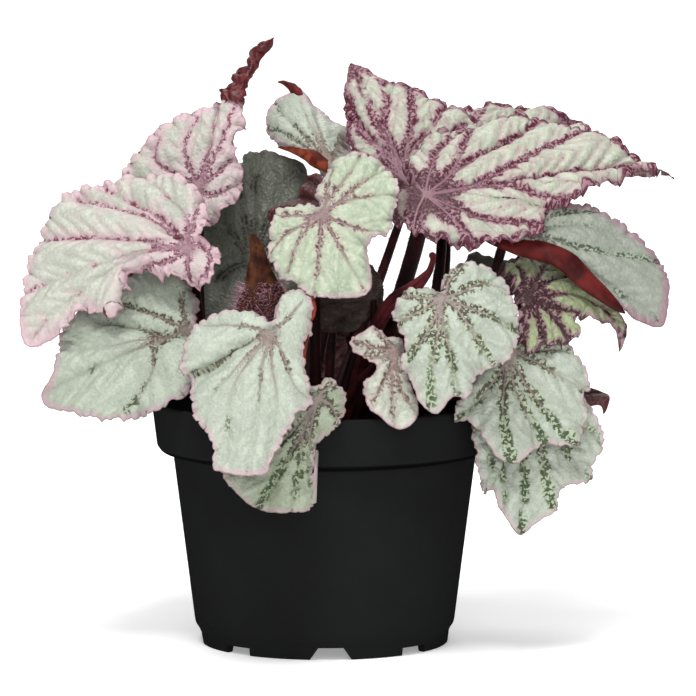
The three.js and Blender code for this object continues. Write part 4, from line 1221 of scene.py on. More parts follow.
def leaf_material(name, colours, numbers):
    """The material of one finish: upper side, underside and turned tip."""
    material, tree, shader = new_material("leaf " + name)
    look = {**dict(zip(TONES, colours.split())), **dict(zip(WIDTHS, numbers))}
    sheet = read(tree, "sheet", "Vector")
    grain = place(tree, leaf_grain, {"Vector": sheet, "Cell size": 1.0})
    near, branch_near = read(tree, "vein_near"), read(tree, "branch_near")
    margin, reach = read(tree, "margin"), read(tree, "reach")
    cover = calc(tree, "MULTIPLY_ADD", read(tree, "bold"), 0.22, look["cover"])
    net = place(tree, vein_net, {
        "Vector": sheet, "Midline": read(tree, "midline"), "Near": near,
        "Branch near": branch_near, "Margin": margin, "Reach": reach,
        "Band width": look["width"], "Branch width": look["branch"],
        "Rim width": look["rim_net"], "Heart width": look["heart_width"],
        "Halo width": look["halo_width"], "Cover": cover, "Cell size": look["cell"],
        "Line": look["line"]})
    mottle = smooth(tree, grain["Mottle"], 0.36, 0.64)
    colour = mix(tree, mottle, paint(look["shade"]), paint(look["panel"]))
    # Painted shade: along the veins the panel takes its dark tone, as the shade in the creases
    # between the puckers.
    crease = smooth(tree, calc(tree, "MINIMUM", near, branch_near), 1.3, 0.2, 0.0, 0.5)
    colour = mix(tree, crease, colour, paint(look["shade"]))
    colour = mix(tree, calc(tree, "MULTIPLY", net["Halo"], 0.75), colour, paint(look["halo"]))
    colour = mix(tree, calc(tree, "MULTIPLY", net["Band"], 0.8), colour, paint(look["fill"]))
    rough_rim = calc(tree, "ADD", margin, calc(tree, "MULTIPLY", grain["Mottle"], 3.0))
    rim = smooth(tree, rough_rim, look["rim"] + 2.0, 1.2)
    colour = mix(tree, calc(tree, "MULTIPLY", rim, 0.85), colour, paint(look["margin"]))
    inner = smooth(tree, reach, 30.0, 10.0)
    thread = mix(tree, inner, paint(look["net"]), paint(look["heart"]))
    colour = mix(tree, calc(tree, "MULTIPLY", net["Net"], 0.92), colour, thread)
    lip = smooth(tree, margin, 0.6, 0.1, 0.0, 0.5)
    colour = mix(tree, lip, colour, paint(look["net"]))
    outside, inside, strength = DARK_HEART if name == "magenta" else FAINT_HEART
    base = smooth(tree, reach, outside, inside, 0.0, strength)
    colour = mix(tree, base, colour, paint(look["heart"]))
    colour = mix(tree, calc(tree, "MULTIPLY", net["Vein"], 0.8), colour, paint(look["vein"]))

    ribs = smooth(tree, calc(tree, "MINIMUM", near, branch_near), 1.1, 0.3, 0.0, 0.7)
    below = smooth(tree, read(tree, "under"), 0.3, 0.7)
    for mask, tones in ((below, DRAB_UNDERSIDE if name == "drab" else UNDERSIDE),
                        (read(tree, "turned"), RIBBON)):
        deep, skin, rib = (paint(tone) for tone in tones)
        under = mix(tree, ribs, mix(tree, mottle, deep, skin), rib)
        colour = mix(tree, mask, colour, under)
    tree.links.new(colour, shader.inputs["Base Color"])

    rough = calc(tree, "ADD", calc(tree, "MULTIPLY", grain["Mottle"], 0.2), 0.3)
    tree.links.new(rough, shader.inputs["Roughness"])
    height = calc(tree, "SUBTRACT", grain["Pebble"], calc(tree, "MULTIPLY", net["Net"], 0.3))
    height = calc(tree, "SUBTRACT", height, calc(tree, "MULTIPLY", net["Vein"], 0.5))
    bump = put(tree, "ShaderNodeBump", {"Height": height, "Strength": 0.7, "Distance": 0.0005})
    tree.links.new(bump.outputs[0], shader.inputs["Normal"])
    shader.inputs["Specular IOR Level"].default_value = 0.28
    return material


leaf_materials = {name: leaf_material(name, *look) for name, look in FINISHES.items()}
for name, made in leaf_objects.items():
    made.data.materials.append(leaf_materials[blades[name].leaf["finish"]])
    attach(made, "root")
    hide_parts(f"leaf_{name}_blade")
print("leaf materials:", len(leaf_materials))

# %% [markdown]
# ## Stalks and hairs
#
# A begonia's stalk is a thick, juicy stem covered with fine hairs. Geometry Nodes sweep a circle
# along each stalk's path, and a second tree scatters hairs over any skin, so the rhizome and the
# young leaf can use it too. The hairs are made real at the end, because an instance is only a
# reference and would be lost when the model is exported.

# %% Geometry Nodes: a stem along a path
def start_tree(name, sockets):
    """An empty Geometry Nodes tree whose inputs each have a kind and a value."""
    tree = bpy.data.node_groups.new(name, "GeometryNodeTree")
    tree.interface.new_socket("Geometry", in_out="INPUT", socket_type="NodeSocketGeometry")
    for label, (kind, value) in sockets.items():
        socket = tree.interface.new_socket(label, in_out="INPUT", socket_type="NodeSocket" + kind)
        if value is not None:
            socket.default_value = value
    tree.interface.new_socket("Geometry", in_out="OUTPUT", socket_type="NodeSocketGeometry")
    start, end = tree.nodes.new("NodeGroupInput"), tree.nodes.new("NodeGroupOutput")
    return tree, start.outputs, end.inputs


def stem_tree():
    tree, given, result = start_tree("stem along a path", {
        "Sides": ("Int", 20), "Knobs": ("Float", 0.0), "Knob size": ("Float", 0.004),
        "Skin": ("Material", None)})
    circle = put(tree, "GeometryNodeCurvePrimitiveCircle",
                 {"Resolution": given["Sides"], "Radius": 1.0})
    radius = put(tree, "GeometryNodeInputRadius")
    sweep = put(tree, "GeometryNodeCurveToMesh", {
        "Curve": given["Geometry"], "Profile Curve": circle.outputs[0],
        "Scale": radius.outputs[0], "Fill Caps": True})
    scale = put(tree, "ShaderNodeMath", {0: 1.0, 1: given["Knob size"]}, operation="DIVIDE")
    noise = put(tree, "ShaderNodeTexNoise", {"Scale": scale.outputs[0], "Detail": 3.0})
    centred = put(tree, "ShaderNodeMath", {0: noise.outputs[0], 1: 0.5}, operation="SUBTRACT")
    amount = put(tree, "ShaderNodeMath", {0: centred.outputs[0], 1: given["Knobs"]},
                 operation="MULTIPLY")
    normal = put(tree, "GeometryNodeInputNormal")
    offset = put(tree, "ShaderNodeVectorMath", {0: normal.outputs[0]}, operation="SCALE")
    tree.links.new(amount.outputs[0], offset.inputs["Scale"])
    moved = put(tree, "GeometryNodeSetPosition",
                {"Geometry": sweep.outputs[0], "Offset": offset.outputs[0]})
    shaded = put(tree, "GeometryNodeSetShadeSmooth", {"Geometry": moved.outputs[0]})
    skin = put(tree, "GeometryNodeSetMaterial",
               {"Geometry": shaded.outputs[0], "Material": given["Skin"]})
    tree.links.new(skin.outputs[0], result["Geometry"])
    return tree


# %% Geometry Nodes: hairs on a skin
HAIR_LEAN = 0.6  # in radians
FULL_TURN = 6.28  # in radians


def join_scattered(tree, planted, skin, ground, result):
    """Makes instances real, gives them a material and joins them to the ground under them."""
    real = put(tree, "GeometryNodeRealizeInstances", {"Geometry": planted.outputs[0]})
    coloured = put(tree, "GeometryNodeSetMaterial", {"Geometry": real.outputs[0], "Material": skin})
    joined = put(tree, "GeometryNodeJoinGeometry")
    tree.links.new(coloured.outputs[0], joined.inputs[0])
    tree.links.new(ground, joined.inputs[0])
    tree.links.new(joined.outputs[0], result)


def hair_tree():
    tree, given, result = start_tree("hairs on a skin", {
        "Hairs per square metre": ("Float", 150000.0), "Length": ("Float", 0.0016),
        "Width": ("Float", 0.00012), "From height": ("Float", 0.0),
        "To height": ("Float", 1.0), "Seed": ("Int", 0), "Hair": ("Material", None)})
    where = put(tree, "GeometryNodeInputPosition")
    height = put(tree, "ShaderNodeSeparateXYZ", {0: where.outputs[0]}).outputs[2]
    above = put(tree, "FunctionNodeCompare", {0: height, 1: given["From height"]},
                data_type="FLOAT", operation="GREATER_THAN")
    below = put(tree, "FunctionNodeCompare", {0: height, 1: given["To height"]},
                data_type="FLOAT", operation="LESS_THAN")
    chosen = put(tree, "FunctionNodeBooleanMath", {0: above.outputs[0], 1: below.outputs[0]},
                 operation="AND")
    spread = put(tree, "GeometryNodeDistributePointsOnFaces", {
        "Mesh": given["Geometry"], "Density": given["Hairs per square metre"],
        "Selection": chosen.outputs[0], "Seed": given["Seed"]})
    cone = put(tree, "GeometryNodeMeshCone", {
        "Vertices": 3, "Radius Top": 0.0, "Radius Bottom": given["Width"],
        "Depth": given["Length"]}, fill_type="NONE")
    lean = put(tree, "FunctionNodeRandomValue", {"Seed": given["Seed"]}, data_type="FLOAT_VECTOR")
    lean.inputs[0].default_value = (-HAIR_LEAN, -HAIR_LEAN, 0)
    lean.inputs[1].default_value = (HAIR_LEAN, HAIR_LEAN, FULL_TURN)
    turned = put(tree, "FunctionNodeRotateRotation", {
        "Rotation": spread.outputs["Rotation"]}, rotation_space="LOCAL")
    tree.links.new(lean.outputs[0], turned.inputs["Rotate By"])
    size = put(tree, "FunctionNodeRandomValue", {2: 0.5, 3: 1.2, "Seed": given["Seed"]},
               data_type="FLOAT")
    planted = put(tree, "GeometryNodeInstanceOnPoints", {
        "Points": spread.outputs["Points"], "Instance": cone.outputs["Mesh"],
        "Rotation": turned.outputs[0], "Scale": size.outputs[1]})
    join_scattered(tree, planted, given["Hair"], given["Geometry"], result["Geometry"])
    return tree


def give(made, tree, values):
    """Adds a Geometry Nodes modifier and sets its inputs by their identifiers."""
    modifier = made.modifiers.new(tree.name, "NODES")
    modifier.node_group = tree
    for item in tree.interface.items_tree:
        if item.in_out == "INPUT" and item.name in values:
            modifier[item.identifier] = values[item.name]


def to_mesh(made, name):
    """The object's evaluated shape as a plain mesh object; the first object is removed."""
    bpy.context.view_layer.update()
    graph = bpy.context.evaluated_depsgraph_get()
    mesh = bpy.data.meshes.new_from_object(made.evaluated_get(graph))
    mesh.name = name
    bpy.data.objects.remove(made)
    return new_object(name, mesh)


stem_nodes, hair_nodes = stem_tree(), hair_tree()
print("trees:", stem_nodes.name, "and", hair_nodes.name)

# %% Group: juicy skin, shared by stalks, rhizome, stipule and young leaf
def skin_group():
    tree, given, result = group(
        "juicy skin", {"Vector": VECTOR, "Deep": (0, 0, 0, 1), "Bright": (1, 1, 1, 1),
                       "Patch size": 6.0}, {"Color": "Color", "Height": "Float"})
    scale = calc(tree, "DIVIDE", 1000.0, given["Patch size"])
    patch = put(tree, "ShaderNodeTexNoise",
                {"Vector": given["Vector"], "Scale": scale, "Detail": 4.0})
    fine = put(tree, "ShaderNodeTexNoise",
               {"Vector": given["Vector"], "Scale": calc(tree, "MULTIPLY", scale, 6.0),
                "Detail": 2.0})
    share = smooth(tree, patch.outputs[0], 0.35, 0.68)
    tree.links.new(mix(tree, share, given["Deep"], given["Bright"]), result["Color"])
    tree.links.new(fine.outputs[0], result["Height"])
    return tree


juicy_skin = skin_group()


def skin_material(name, deep, bright, patch, roughness, depth=0.0003):
    material, tree, shader = new_material(name)
    where = put(tree, "ShaderNodeTexCoord").outputs["Object"]
    skin = place(tree, juicy_skin, {"Vector": where, "Deep": paint(deep),
                                    "Bright": paint(bright), "Patch size": patch})
    tree.links.new(skin["Color"], shader.inputs["Base Color"])
    bump = put(tree, "ShaderNodeBump",
               {"Height": skin["Height"], "Strength": 0.5, "Distance": depth})
    tree.links.new(bump.outputs[0], shader.inputs["Normal"])
    shader.inputs["Roughness"].default_value = roughness
    shader.inputs["Specular IOR Level"].default_value = 0.12
    return material


# Partly painted shade: the stalks' own dark red is painted darker still, for the shade in the
# plant's middle.
stalk_skin = skin_material("stalk skin", "#150305", "#300a0d", 9, 0.6)
young_skin = skin_material("young leaf skin", "#300c10", "#602026", 7, 0.55)
roll_skin = skin_material("rolled margin skin", "#340c0c", "#64201e", 9, 0.5)
# Painted light: the red underside painted orange, as if lit through from behind.
backlit_underside_skin = skin_material("underside skin with painted backlight", "#4a1710", "#803a24", 4, 0.6)
stipule_skin = skin_material("stipule skin", "#2a1009", "#55301b", 5, 0.65)
rhizome_skin = skin_material("rhizome skin", "#1d0e0a", "#41251a", 5, 0.85, 0.0008)
hair_skin = skin_material("hair", "#8f6372", "#c9a0b0", 4, 0.6)
dark_hair = skin_material("dark hair", "#1b0809", "#341214", 4, 0.6)
print("skins ready")

# %% Stalk paths and stalks
MIX_TOP = 80
STALK_ROOT_DEPTH = 8
STALK_RADII = (2.4, 1.7)  # at the foot and at the top
STALK_GAP = 0.8  # keeps the top of a stalk just under its blade
STALK_LEAN = 0.25
STALK_RISE = 0.45
STALK_APPROACH = 0.3
HANG = (0.94, 0.34)  # how a blade hangs forward, about 20 degrees


def bezier(points, count):
    """Points along a cubic Bezier curve."""
    t = np.linspace(0, 1, count)[:, None]
    a, b, c, d = points
    return a * (1 - t) ** 3 + 3 * b * t * (1 - t) ** 2 + 3 * c * t ** 2 * (1 - t) + d * t ** 3


def stalk_path(blade, count=28):
    """Points along a stalk, from its root in the mix to its blade."""
    leaf = blade.leaf
    joint = blade.attachment()
    tip = on_plane(*leaf["outline"][0][:2], blade.centre, blade.normal) - joint
    forward = unit(tip - blade.normal * tip.dot(blade.normal))
    arrival = unit(leaf.get("arrive", HANG[0] * blade.normal + HANG[1] * forward))
    tilt = math.sqrt(max(0.0, 1 - arrival.dot(blade.normal) ** 2))
    end = joint - blade.normal * (STALK_GAP + leaf.get("stalk", STALK_RADII)[1] * tilt)
    root = np.array([*leaf["root"], MIX_TOP - STALK_ROOT_DEPTH], float)
    span = np.linalg.norm(end - root)
    lean = leaf.get("lean", (leaf["root"][0] * STALK_LEAN, leaf["root"][1] * STALK_LEAN))
    rise = root + np.array([*lean, leaf.get("rise", STALK_RISE) * span])
    approach = end - arrival * STALK_APPROACH * span
    return bezier((root, rise, approach, end), count)


def path_curve(name, points, radii):
    """A curve object along points, with a radius at each."""
    curve = bpy.data.curves.new(name, "CURVE")
    curve.dimensions = "3D"
    spline = curve.splines.new("POLY")
    spline.points.add(len(points) - 1)
    for i, point in enumerate(points):
        spline.points[i].co = (*(point * MM), 1)
        spline.points[i].radius = radii[i] * MM
    return new_object(name + "_path", curve)


for order, (name, blade) in enumerate(blades.items()):
    points = stalk_path(blade)
    low, high = blade.leaf.get("stalk", STALK_RADII)
    along = np.linspace(0, 1, len(points))
    radii = low + (high - low) * along
    stalk = path_curve("stalk_" + name, points, radii)
    give(stalk, stem_nodes, {"Sides": 18, "Knobs": 0.0006, "Knob size": 0.006,
                             "Skin": stalk_skin})
    give(stalk, hair_nodes, {"Hairs per square metre": 260000.0, "Length": 0.0016,
                             "Width": 0.00009, "Seed": order, "Hair": dark_hair})
    stalk = to_mesh(stalk, "stalk_" + name)
    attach(stalk, "root")
    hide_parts(f"leaf_{name}_stalk")
print("stalks:", len(blades))

# %% [markdown]
# ## Young leaf, stipule and rhizome
#
# Between the stalks stand a young leaf that is still folded, and a stipule, the papery scale that
# covered it. Both are hollow folds seen from outside, so a tube with a pressed section will do. The
# rhizome is a knobbly stem that creeps on the mix.

# %% Pressed tubes
def pressed_tube(name, points, radii, pinch, crease, facing=(0, 1, 0), sides=28, count=44):
    """A tube along points whose section is pressed flat (pinch) and creased on one side."""
    points, radii = np.asarray(points, float), np.asarray(radii, float)
    along = np.linspace(0, len(points) - 1, count)
    fine = np.stack([np.interp(along, range(len(points)), points[:, i]) for i in range(3)], axis=1)
    for _ in range(3):
        fine[1:-1] = (fine[:-2] + 2 * fine[1:-1] + fine[2:]) / 4
    size = np.interp(along, range(len(radii)), radii)
    way = np.gradient(fine, axis=0)
    rings = []
    for i in range(count):
        direction = unit(way[i])
        across = unit(np.cross(direction, facing))
        depth = np.cross(across, direction)
        angle = np.linspace(0, 2 * math.pi, sides, endpoint=False)
        radius = size[i] * (1 + 0.06 * np.sin(3 * angle + i * 0.5))
        wide = radius * np.cos(angle)
        deep = pinch * radius * np.sin(angle) * (1 - crease * np.exp(-(wide / size[i] / 0.25) ** 2)
                                                 * (np.sin(angle) < 0))
        rings.append(fine[i] + wide[:, None] * across + deep[:, None] * depth)
    vertices = np.vstack(rings) * MM
    faces = []
    for i in range(count - 1):
        for k in range(sides):
            a, b = i * sides + k, i * sides + (k + 1) % sides
            faces.append((a, b, b + sides, a + sides))
    faces.append(tuple(range(sides))[::-1])
    faces.append(tuple((count - 1) * sides + k for k in range(sides)))
    mesh = bpy.data.meshes.new(name)
    mesh.from_pydata(vertices.tolist(), [], faces)
    shape = bmesh.new()
    shape.from_mesh(mesh)
    bmesh.ops.recalc_face_normals(shape, faces=shape.faces)
    shape.to_mesh(mesh)
    shape.free()
    mesh.polygons.foreach_set("use_smooth", [True] * len(mesh.polygons))
    return new_object(name, mesh)


YOUNG_LEAF = dict(
    points=[(8, -15, 78), (13, -22, 106), (20, -26, 124.5), (26.5, -27.5, 132.5),
            (33.5, -28.5, 137), (39.3, -29, 143), (40.3, -29.5, 147.5), (40, -30, 149.3),
            (39.6, -30, 150.2)],
    radii=[2.2, 2.5, 2.7, 3.0, 2.7, 1.3, 1.0, 1.4, 0.7])
STIPULE = dict(
    points=[(-21, -24, 80.5), (-21, -24, 106), (-22, -24, 120), (-23, -24, 131),
            (-23.5, -23.6, 139), (-24.5, -23, 148), (-26, -22.6, 154), (-27.4, -22.6, 156)],
    radii=[4, 7, 10, 9.6, 5.8, 3.2, 2.0, 0.8])
RHIZOME = dict(
    points=[(-27, 13, 80), (-14, 11, 83), (0, 8, 84), (14, 5, 84), (24, 3, 81)],
    radii=[4, 5.5, 6.5, 6.2, 4])

young = pressed_tube("young_leaf", **YOUNG_LEAF, pinch=0.8, crease=0.4)
young.data.materials.append(young_skin)
give(young, hair_nodes, {"Hairs per square metre": 400000.0, "Length": 0.0018,
                         "Width": 0.0001, "Seed": 71, "Hair": dark_hair})
young = to_mesh(young, "young_leaf_folded")
stipule = pressed_tube("stipule_scale", **STIPULE, pinch=0.42, crease=0.5)
stipule.data.materials.append(stipule_skin)
give(stipule, hair_nodes, {"Hairs per square metre": 250000.0, "Length": 0.0016,
                           "Width": 0.0001, "Seed": 74, "Hair": dark_hair})
give(stipule, hair_nodes, {"Hairs per square metre": 1600000.0, "Length": 0.0048,
                           "Width": 0.00013, "From height": 0.121, "To height": 0.1375,
                           "Seed": 72, "Hair": hair_skin})
stipule = to_mesh(stipule, "stipule_with_hairs")

rhizome_points = np.array(RHIZOME["points"], float)
places = range(len(rhizome_points))
steps = np.linspace(0, places[-1], 30)
path = np.stack([np.interp(steps, places, rhizome_points[:, i]) for i in range(3)], axis=1)
radii = np.interp(steps, places, RHIZOME["radii"])
radii *= 1 + 0.1 * np.sin(steps * 9)  # knuckles where leaves have grown
rhizome = path_curve("rhizome", path, radii)
give(rhizome, stem_nodes, {"Sides": 32, "Knobs": 0.003, "Knob size": 0.005,
                           "Skin": rhizome_skin})
give(rhizome, hair_nodes, {"Hairs per square metre": 60000.0, "Length": 0.0025,
                           "Width": 0.00015, "Seed": 73, "Hair": dark_hair})
rhizome = to_mesh(rhizome, "rhizome_creeping")
for made, node, slot in ((young, "leaf_young_folded", "blade"), (stipule, "stipule", "blade"),
                         (rhizome, "rhizome", "rhizome")):
    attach(made, "root")
    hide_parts(node)
print("young leaf, stipule and rhizome made")

# %% [markdown]
# ## Rolled margins
#
# Where a blade rolls back at its rim, its red underside shows as a smooth roll. Each roll is a
# pressed tube that lies along the rim, drawn like the outlines, as picture points, each with half
# of the roll's width there.

# %% Rolls
PICTURE_STEP = 0.376  # millimetres on the plant for one pixel of the picture
ROLLS = [
    dict(leaf="right_pale", skin=roll_skin, spine=[
        (483, 239, 0.8), (491, 242, 2.5), (500, 244, 4.5), (518, 248, 8.5), (537, 249, 10.5),
        (554, 255, 10.5), (570, 264, 11.5), (585, 279, 10.5), (603, 295, 8), (617, 307, 5),
        (625, 313, 1)]),
    dict(leaf="top_centre", skin=backlit_underside_skin, spine=[
        (278, 147, 0.8), (288, 149, 2.5), (300, 152, 4.5), (314, 158, 8), (323, 165, 7),
        (328, 171, 2)]),
    dict(leaf="top_centre", skin=roll_skin, spine=[
        (278, 82, 0.8), (282, 82, 2), (287, 84, 3), (293, 88, 5), (298, 92, 4.5), (302, 95, 2)]),
    dict(leaf="front_left", skin=backlit_underside_skin, spine=[
        (311, 296, 0.6), (313.5, 301, 1.6), (314.5, 308, 1.9), (313.5, 316, 1.6), (311, 322, 0.6)]),
    dict(leaf="front_left", skin=backlit_underside_skin, spine=[
        (309, 334, 0.5), (307, 341, 1.4), (305, 350, 1.7), (304.5, 358, 1.3), (306, 364, 0.5)]),
]


def roll_points(blade, spine):
    """Points on the blade under a roll, raised by half of its width."""
    points = []
    for x, y, half in spine:
        u, s = blade.polar(blade.from_picture(x, y)[None])
        base = blade.surface(u, np.minimum(s, 1))[0]
        lifted = (base - blade.centre).dot(blade.normal) + 0.45 * half * PICTURE_STEP
        points.append(on_plane(x, y, blade.centre + lifted * blade.normal, blade.normal))
    return np.array(points)


for order, roll in enumerate(ROLLS):
    blade = blades[roll["leaf"]]
    made = pressed_tube(
        f"roll_{order}_{roll['leaf']}", roll_points(blade, roll["spine"]),
        [half * PICTURE_STEP for _, _, half in roll["spine"]], pinch=0.55, crease=0.0,
        facing=blade.normal)
    made.data.materials.append(roll["skin"])
    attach(made, "root")
    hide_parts(f"leaf_{roll['leaf']}_blade")
print("rolls:", len(ROLLS))

# %% [markdown]
# ## Potting mix
#
# Peat is a loose dark crumb. The body of the mix is a turned solid with an uneven top, and crumbs
# of varied size are scattered on that top by Geometry Nodes.

# %% Sizes of the pot and the mix, in millimetres
RIM_RADIUS = 65.0
RIM_TOP = 92.0
BAND_BOTTOM = 74.0
BASE_RADIUS = 49.0
FOOT_RADIUS = 46.5
FOOT_HEIGHT = 5.0
FOOT_WIDTH = 4.0
PAD_RADIUS = 12.0
WALL = 1.6
CLEARANCE = 0.35
PEAT_LEVEL = 78.0
PEAT_RADIUS = 59.6
HEAP_RADIUS = 61
HEAP_HEIGHT = 2.6


# %% Mix
def turn_profile(name, profile, sides):
    """A profile of (radius, height) turned about the pot's axis, in millimetres."""
    shape = bmesh.new()
    rings = []
    for radius, height in profile:
        if radius == 0:
            rings.append([shape.verts.new((0, 0, height * MM))])
            continue
        angles = [2 * math.pi * k / sides for k in range(sides)]
        rings.append([shape.verts.new((radius * MM * math.cos(a), radius * MM * math.sin(a),
                                       height * MM)) for a in angles])
    for lower, upper in zip(rings, rings[1:]):
        for k in range(sides):
            n = (k + 1) % sides
            corners = [lower[k % len(lower)], lower[n % len(lower)],
                       upper[n % len(upper)], upper[k % len(upper)]]
            shape.faces.new(list(dict.fromkeys(corners)))
    bmesh.ops.recalc_face_normals(shape, faces=shape.faces)
    mesh = bpy.data.meshes.new(name)
    shape.to_mesh(mesh)
    shape.free()
    return new_object(name, mesh)


floor_height = FOOT_HEIGHT + WALL + CLEARANCE
gap = WALL + CLEARANCE
top_rings = [(radius, PEAT_LEVEL) for radius in np.linspace(PEAT_RADIUS, 1.0, 46)]
peat = turn_profile("peat", [
    (0, floor_height), (BASE_RADIUS - gap - 2, floor_height), (BASE_RADIUS - gap, FOOT_HEIGHT + 4),
    (RIM_RADIUS - 8 - gap, BAND_BOTTOM - 1), (RIM_RADIUS - 2.4 - gap, BAND_BOTTOM + 2),
    (RIM_RADIUS - 2.6 - gap, MIX_TOP - 2.6), *top_rings, (0, PEAT_LEVEL)], 150)
for vertex in peat.data.vertices:
    x, y, z = (c / MM for c in vertex.co)
    if z > PEAT_LEVEL - 0.5:
        r = math.hypot(x, y)
        heap = HEAP_HEIGHT * (1 - (r / HEAP_RADIUS) ** 2)
        lumps = 0.8 * math.sin(x / 3.1 + 1.3 * math.sin(y / 4.3)) * math.sin(y / 2.9 + x / 9)
        lumps += 0.5 * math.sin(x / 1.3 + y / 2.1) * math.sin(y / 1.1 - x / 3.7)
        vertex.co.z = (PEAT_LEVEL + heap + lumps * min(1, (HEAP_RADIUS - r) / 4)) * MM
peat.data.polygons.foreach_set("use_smooth", [True] * len(peat.data.polygons))


def peat_material():
    material, tree, shader = new_material("peat")
    where = put(tree, "ShaderNodeTexCoord").outputs["Object"]
    crumbs = put(tree, "ShaderNodeTexVoronoi", {"Vector": where, "Scale": 700.0})
    cloud = put(tree, "ShaderNodeTexNoise", {"Vector": where, "Scale": 240.0, "Detail": 6.0})
    colour = mix(tree, smooth(tree, cloud.outputs[0], 0.35, 0.7), paint("#0d0805"),
                 paint("#33221a"))
    tree.links.new(colour, shader.inputs["Base Color"])
    height = calc(tree, "ADD", crumbs.outputs["Distance"], cloud.outputs[0])
    bump = put(tree, "ShaderNodeBump", {"Height": height, "Strength": 0.9, "Distance": 0.001})
    tree.links.new(bump.outputs[0], shader.inputs["Normal"])
    shader.inputs["Roughness"].default_value = 0.95
    shader.inputs["Specular IOR Level"].default_value = 0.1
    return material


def crumb_tree():
    tree, given, result = start_tree("crumbs on the mix", {
        "Crumbs per square metre": ("Float", 100000.0), "Size": ("Float", 0.001),
        "Seed": ("Int", 0), "Above": ("Float", 0.076), "Crumb": ("Material", None)})
    where = put(tree, "GeometryNodeInputPosition")
    height = put(tree, "ShaderNodeSeparateXYZ", {0: where.outputs[0]}).outputs[2]
    high = put(tree, "FunctionNodeCompare", {0: height, 1: given["Above"]},
               data_type="FLOAT", operation="GREATER_THAN")
    spread = put(tree, "GeometryNodeDistributePointsOnFaces", {
        "Mesh": given["Geometry"], "Selection": high.outputs[0],
        "Density": given["Crumbs per square metre"], "Seed": given["Seed"]})
    crumb = put(tree, "GeometryNodeMeshIcoSphere", {"Radius": given["Size"], "Subdivisions": 1})
    size = put(tree, "FunctionNodeRandomValue", {"Seed": given["Seed"]}, data_type="FLOAT_VECTOR")
    size.inputs[0].default_value = (0.4, 0.4, 0.3)
    size.inputs[1].default_value = (1.5, 1.0, 0.9)
    turn = put(tree, "FunctionNodeRandomValue", {"Seed": given["Seed"]}, data_type="FLOAT_VECTOR")
    turn.inputs[1].default_value = (FULL_TURN, FULL_TURN, FULL_TURN)
    planted = put(tree, "GeometryNodeInstanceOnPoints", {
        "Points": spread.outputs["Points"], "Instance": crumb.outputs["Mesh"],
        "Scale": size.outputs[0]})
    tree.links.new(turn.outputs[0], planted.inputs["Rotation"])
    join_scattered(tree, planted, given["Crumb"], given["Geometry"], result["Geometry"])
    return tree


peat_look = peat_material()
peat.data.materials.append(peat_look)
crumb_nodes = crumb_tree()
give(peat, crumb_nodes, {"Crumbs per square metre": 190000.0, "Size": 0.0009, "Seed": 5,
                         "Crumb": peat_look})
peat = to_mesh(peat, "potting_mix_crumbed")
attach(peat, "root")
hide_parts("potting_mix")
print("triangles in the mix:", len(peat.data.polygons))

# %% [markdown]
# ## Pot
#
# A nursery pot is thin, matt injection-moulded plastic: a tapering wall, a step up to a broad band,
# and a foot ring with notches that let the water out. Its profile is turned with rounded corners,
# and the notches and drain holes are cut with booleans. Its colour is painted darker in the crease
# under the band: painted shade, where the band overhangs the wall.

# %% Round the corners of a profile
def rounded(profile, radius=0.7, steps=4):
    """The profile with a small arc in place of every corner but its ends."""
    points = []
    for i, here in enumerate(profile):
        if i in (0, len(profile) - 1):
            points.append(here)
            continue
        before, here, after = np.array(profile[i - 1:i + 2], float)
        before, after = before - here, after - here
        cut = min(radius, np.linalg.norm(before) * 0.45, np.linalg.norm(after) * 0.45)
        a, b = here + unit(before) * cut, here + unit(after) * cut
        for t in np.linspace(0, 1, steps):
            points.append(tuple(a * (1 - t) ** 2 + 2 * here * t * (1 - t) + b * t ** 2))
    return points


inner_floor = FOOT_HEIGHT + WALL
POT_PROFILE = [
    (0, 0), (PAD_RADIUS, 0), (PAD_RADIUS + 1, FOOT_HEIGHT), (FOOT_RADIUS - FOOT_WIDTH, FOOT_HEIGHT),
    (FOOT_RADIUS - FOOT_WIDTH + 1, 0), (FOOT_RADIUS, 0), (FOOT_RADIUS + 0.5, FOOT_HEIGHT),
    (BASE_RADIUS - 0.3, FOOT_HEIGHT + 2.6), (BASE_RADIUS, FOOT_HEIGHT + 4),
    (RIM_RADIUS - 8, BAND_BOTTOM - 2), (RIM_RADIUS - 3.5, BAND_BOTTOM - 1),
    (RIM_RADIUS - 2, BAND_BOTTOM + 1), (RIM_RADIUS, RIM_TOP - 1), (RIM_RADIUS - 0.5, RIM_TOP),
    (RIM_RADIUS - 1.5, RIM_TOP), (RIM_RADIUS - 2 - WALL, BAND_BOTTOM + 2),
    (RIM_RADIUS - 8 - WALL, BAND_BOTTOM - 1), (BASE_RADIUS - WALL, FOOT_HEIGHT + 4),
    (BASE_RADIUS - WALL - 2, inner_floor), (0, inner_floor)]
pot = turn_profile("pot_moulded", rounded(POT_PROFILE), 180)


# %% Cut the notches and drain holes
WIDE_NOTCH = 17
WIDE_NOTCH_TAPER = 0.55
WIDE_NOTCH_TURN = 3  # of the first one, in degrees
NARROW_NOTCH = 12
NARROW_NOTCH_TURN = 46
QUARTERS = (0, 90, 180, 270)
DRAIN_RADIUS = 4
DRAIN_CIRCLE = 30
DRAINS = 6


def cutter_box(width, height, degrees, top_share=1.0):
    """A box across the foot ring; top_share is its width at the top against the bottom."""
    shape = bmesh.new()
    bmesh.ops.create_cube(shape, size=1)
    for vertex in shape.verts:
        vertex.co.x = (FOOT_RADIUS - 1 + vertex.co.x * 3 * FOOT_WIDTH) * MM
        vertex.co.y *= width * (top_share if vertex.co.z > 0 else 1) * MM
        vertex.co.z = ((height - 1) / 2 + vertex.co.z * (height + 1)) * MM
    bmesh.ops.rotate(shape, verts=shape.verts, cent=(0, 0, 0),
                     matrix=Matrix.Rotation(math.radians(degrees), 3, "Z"))
    return shape


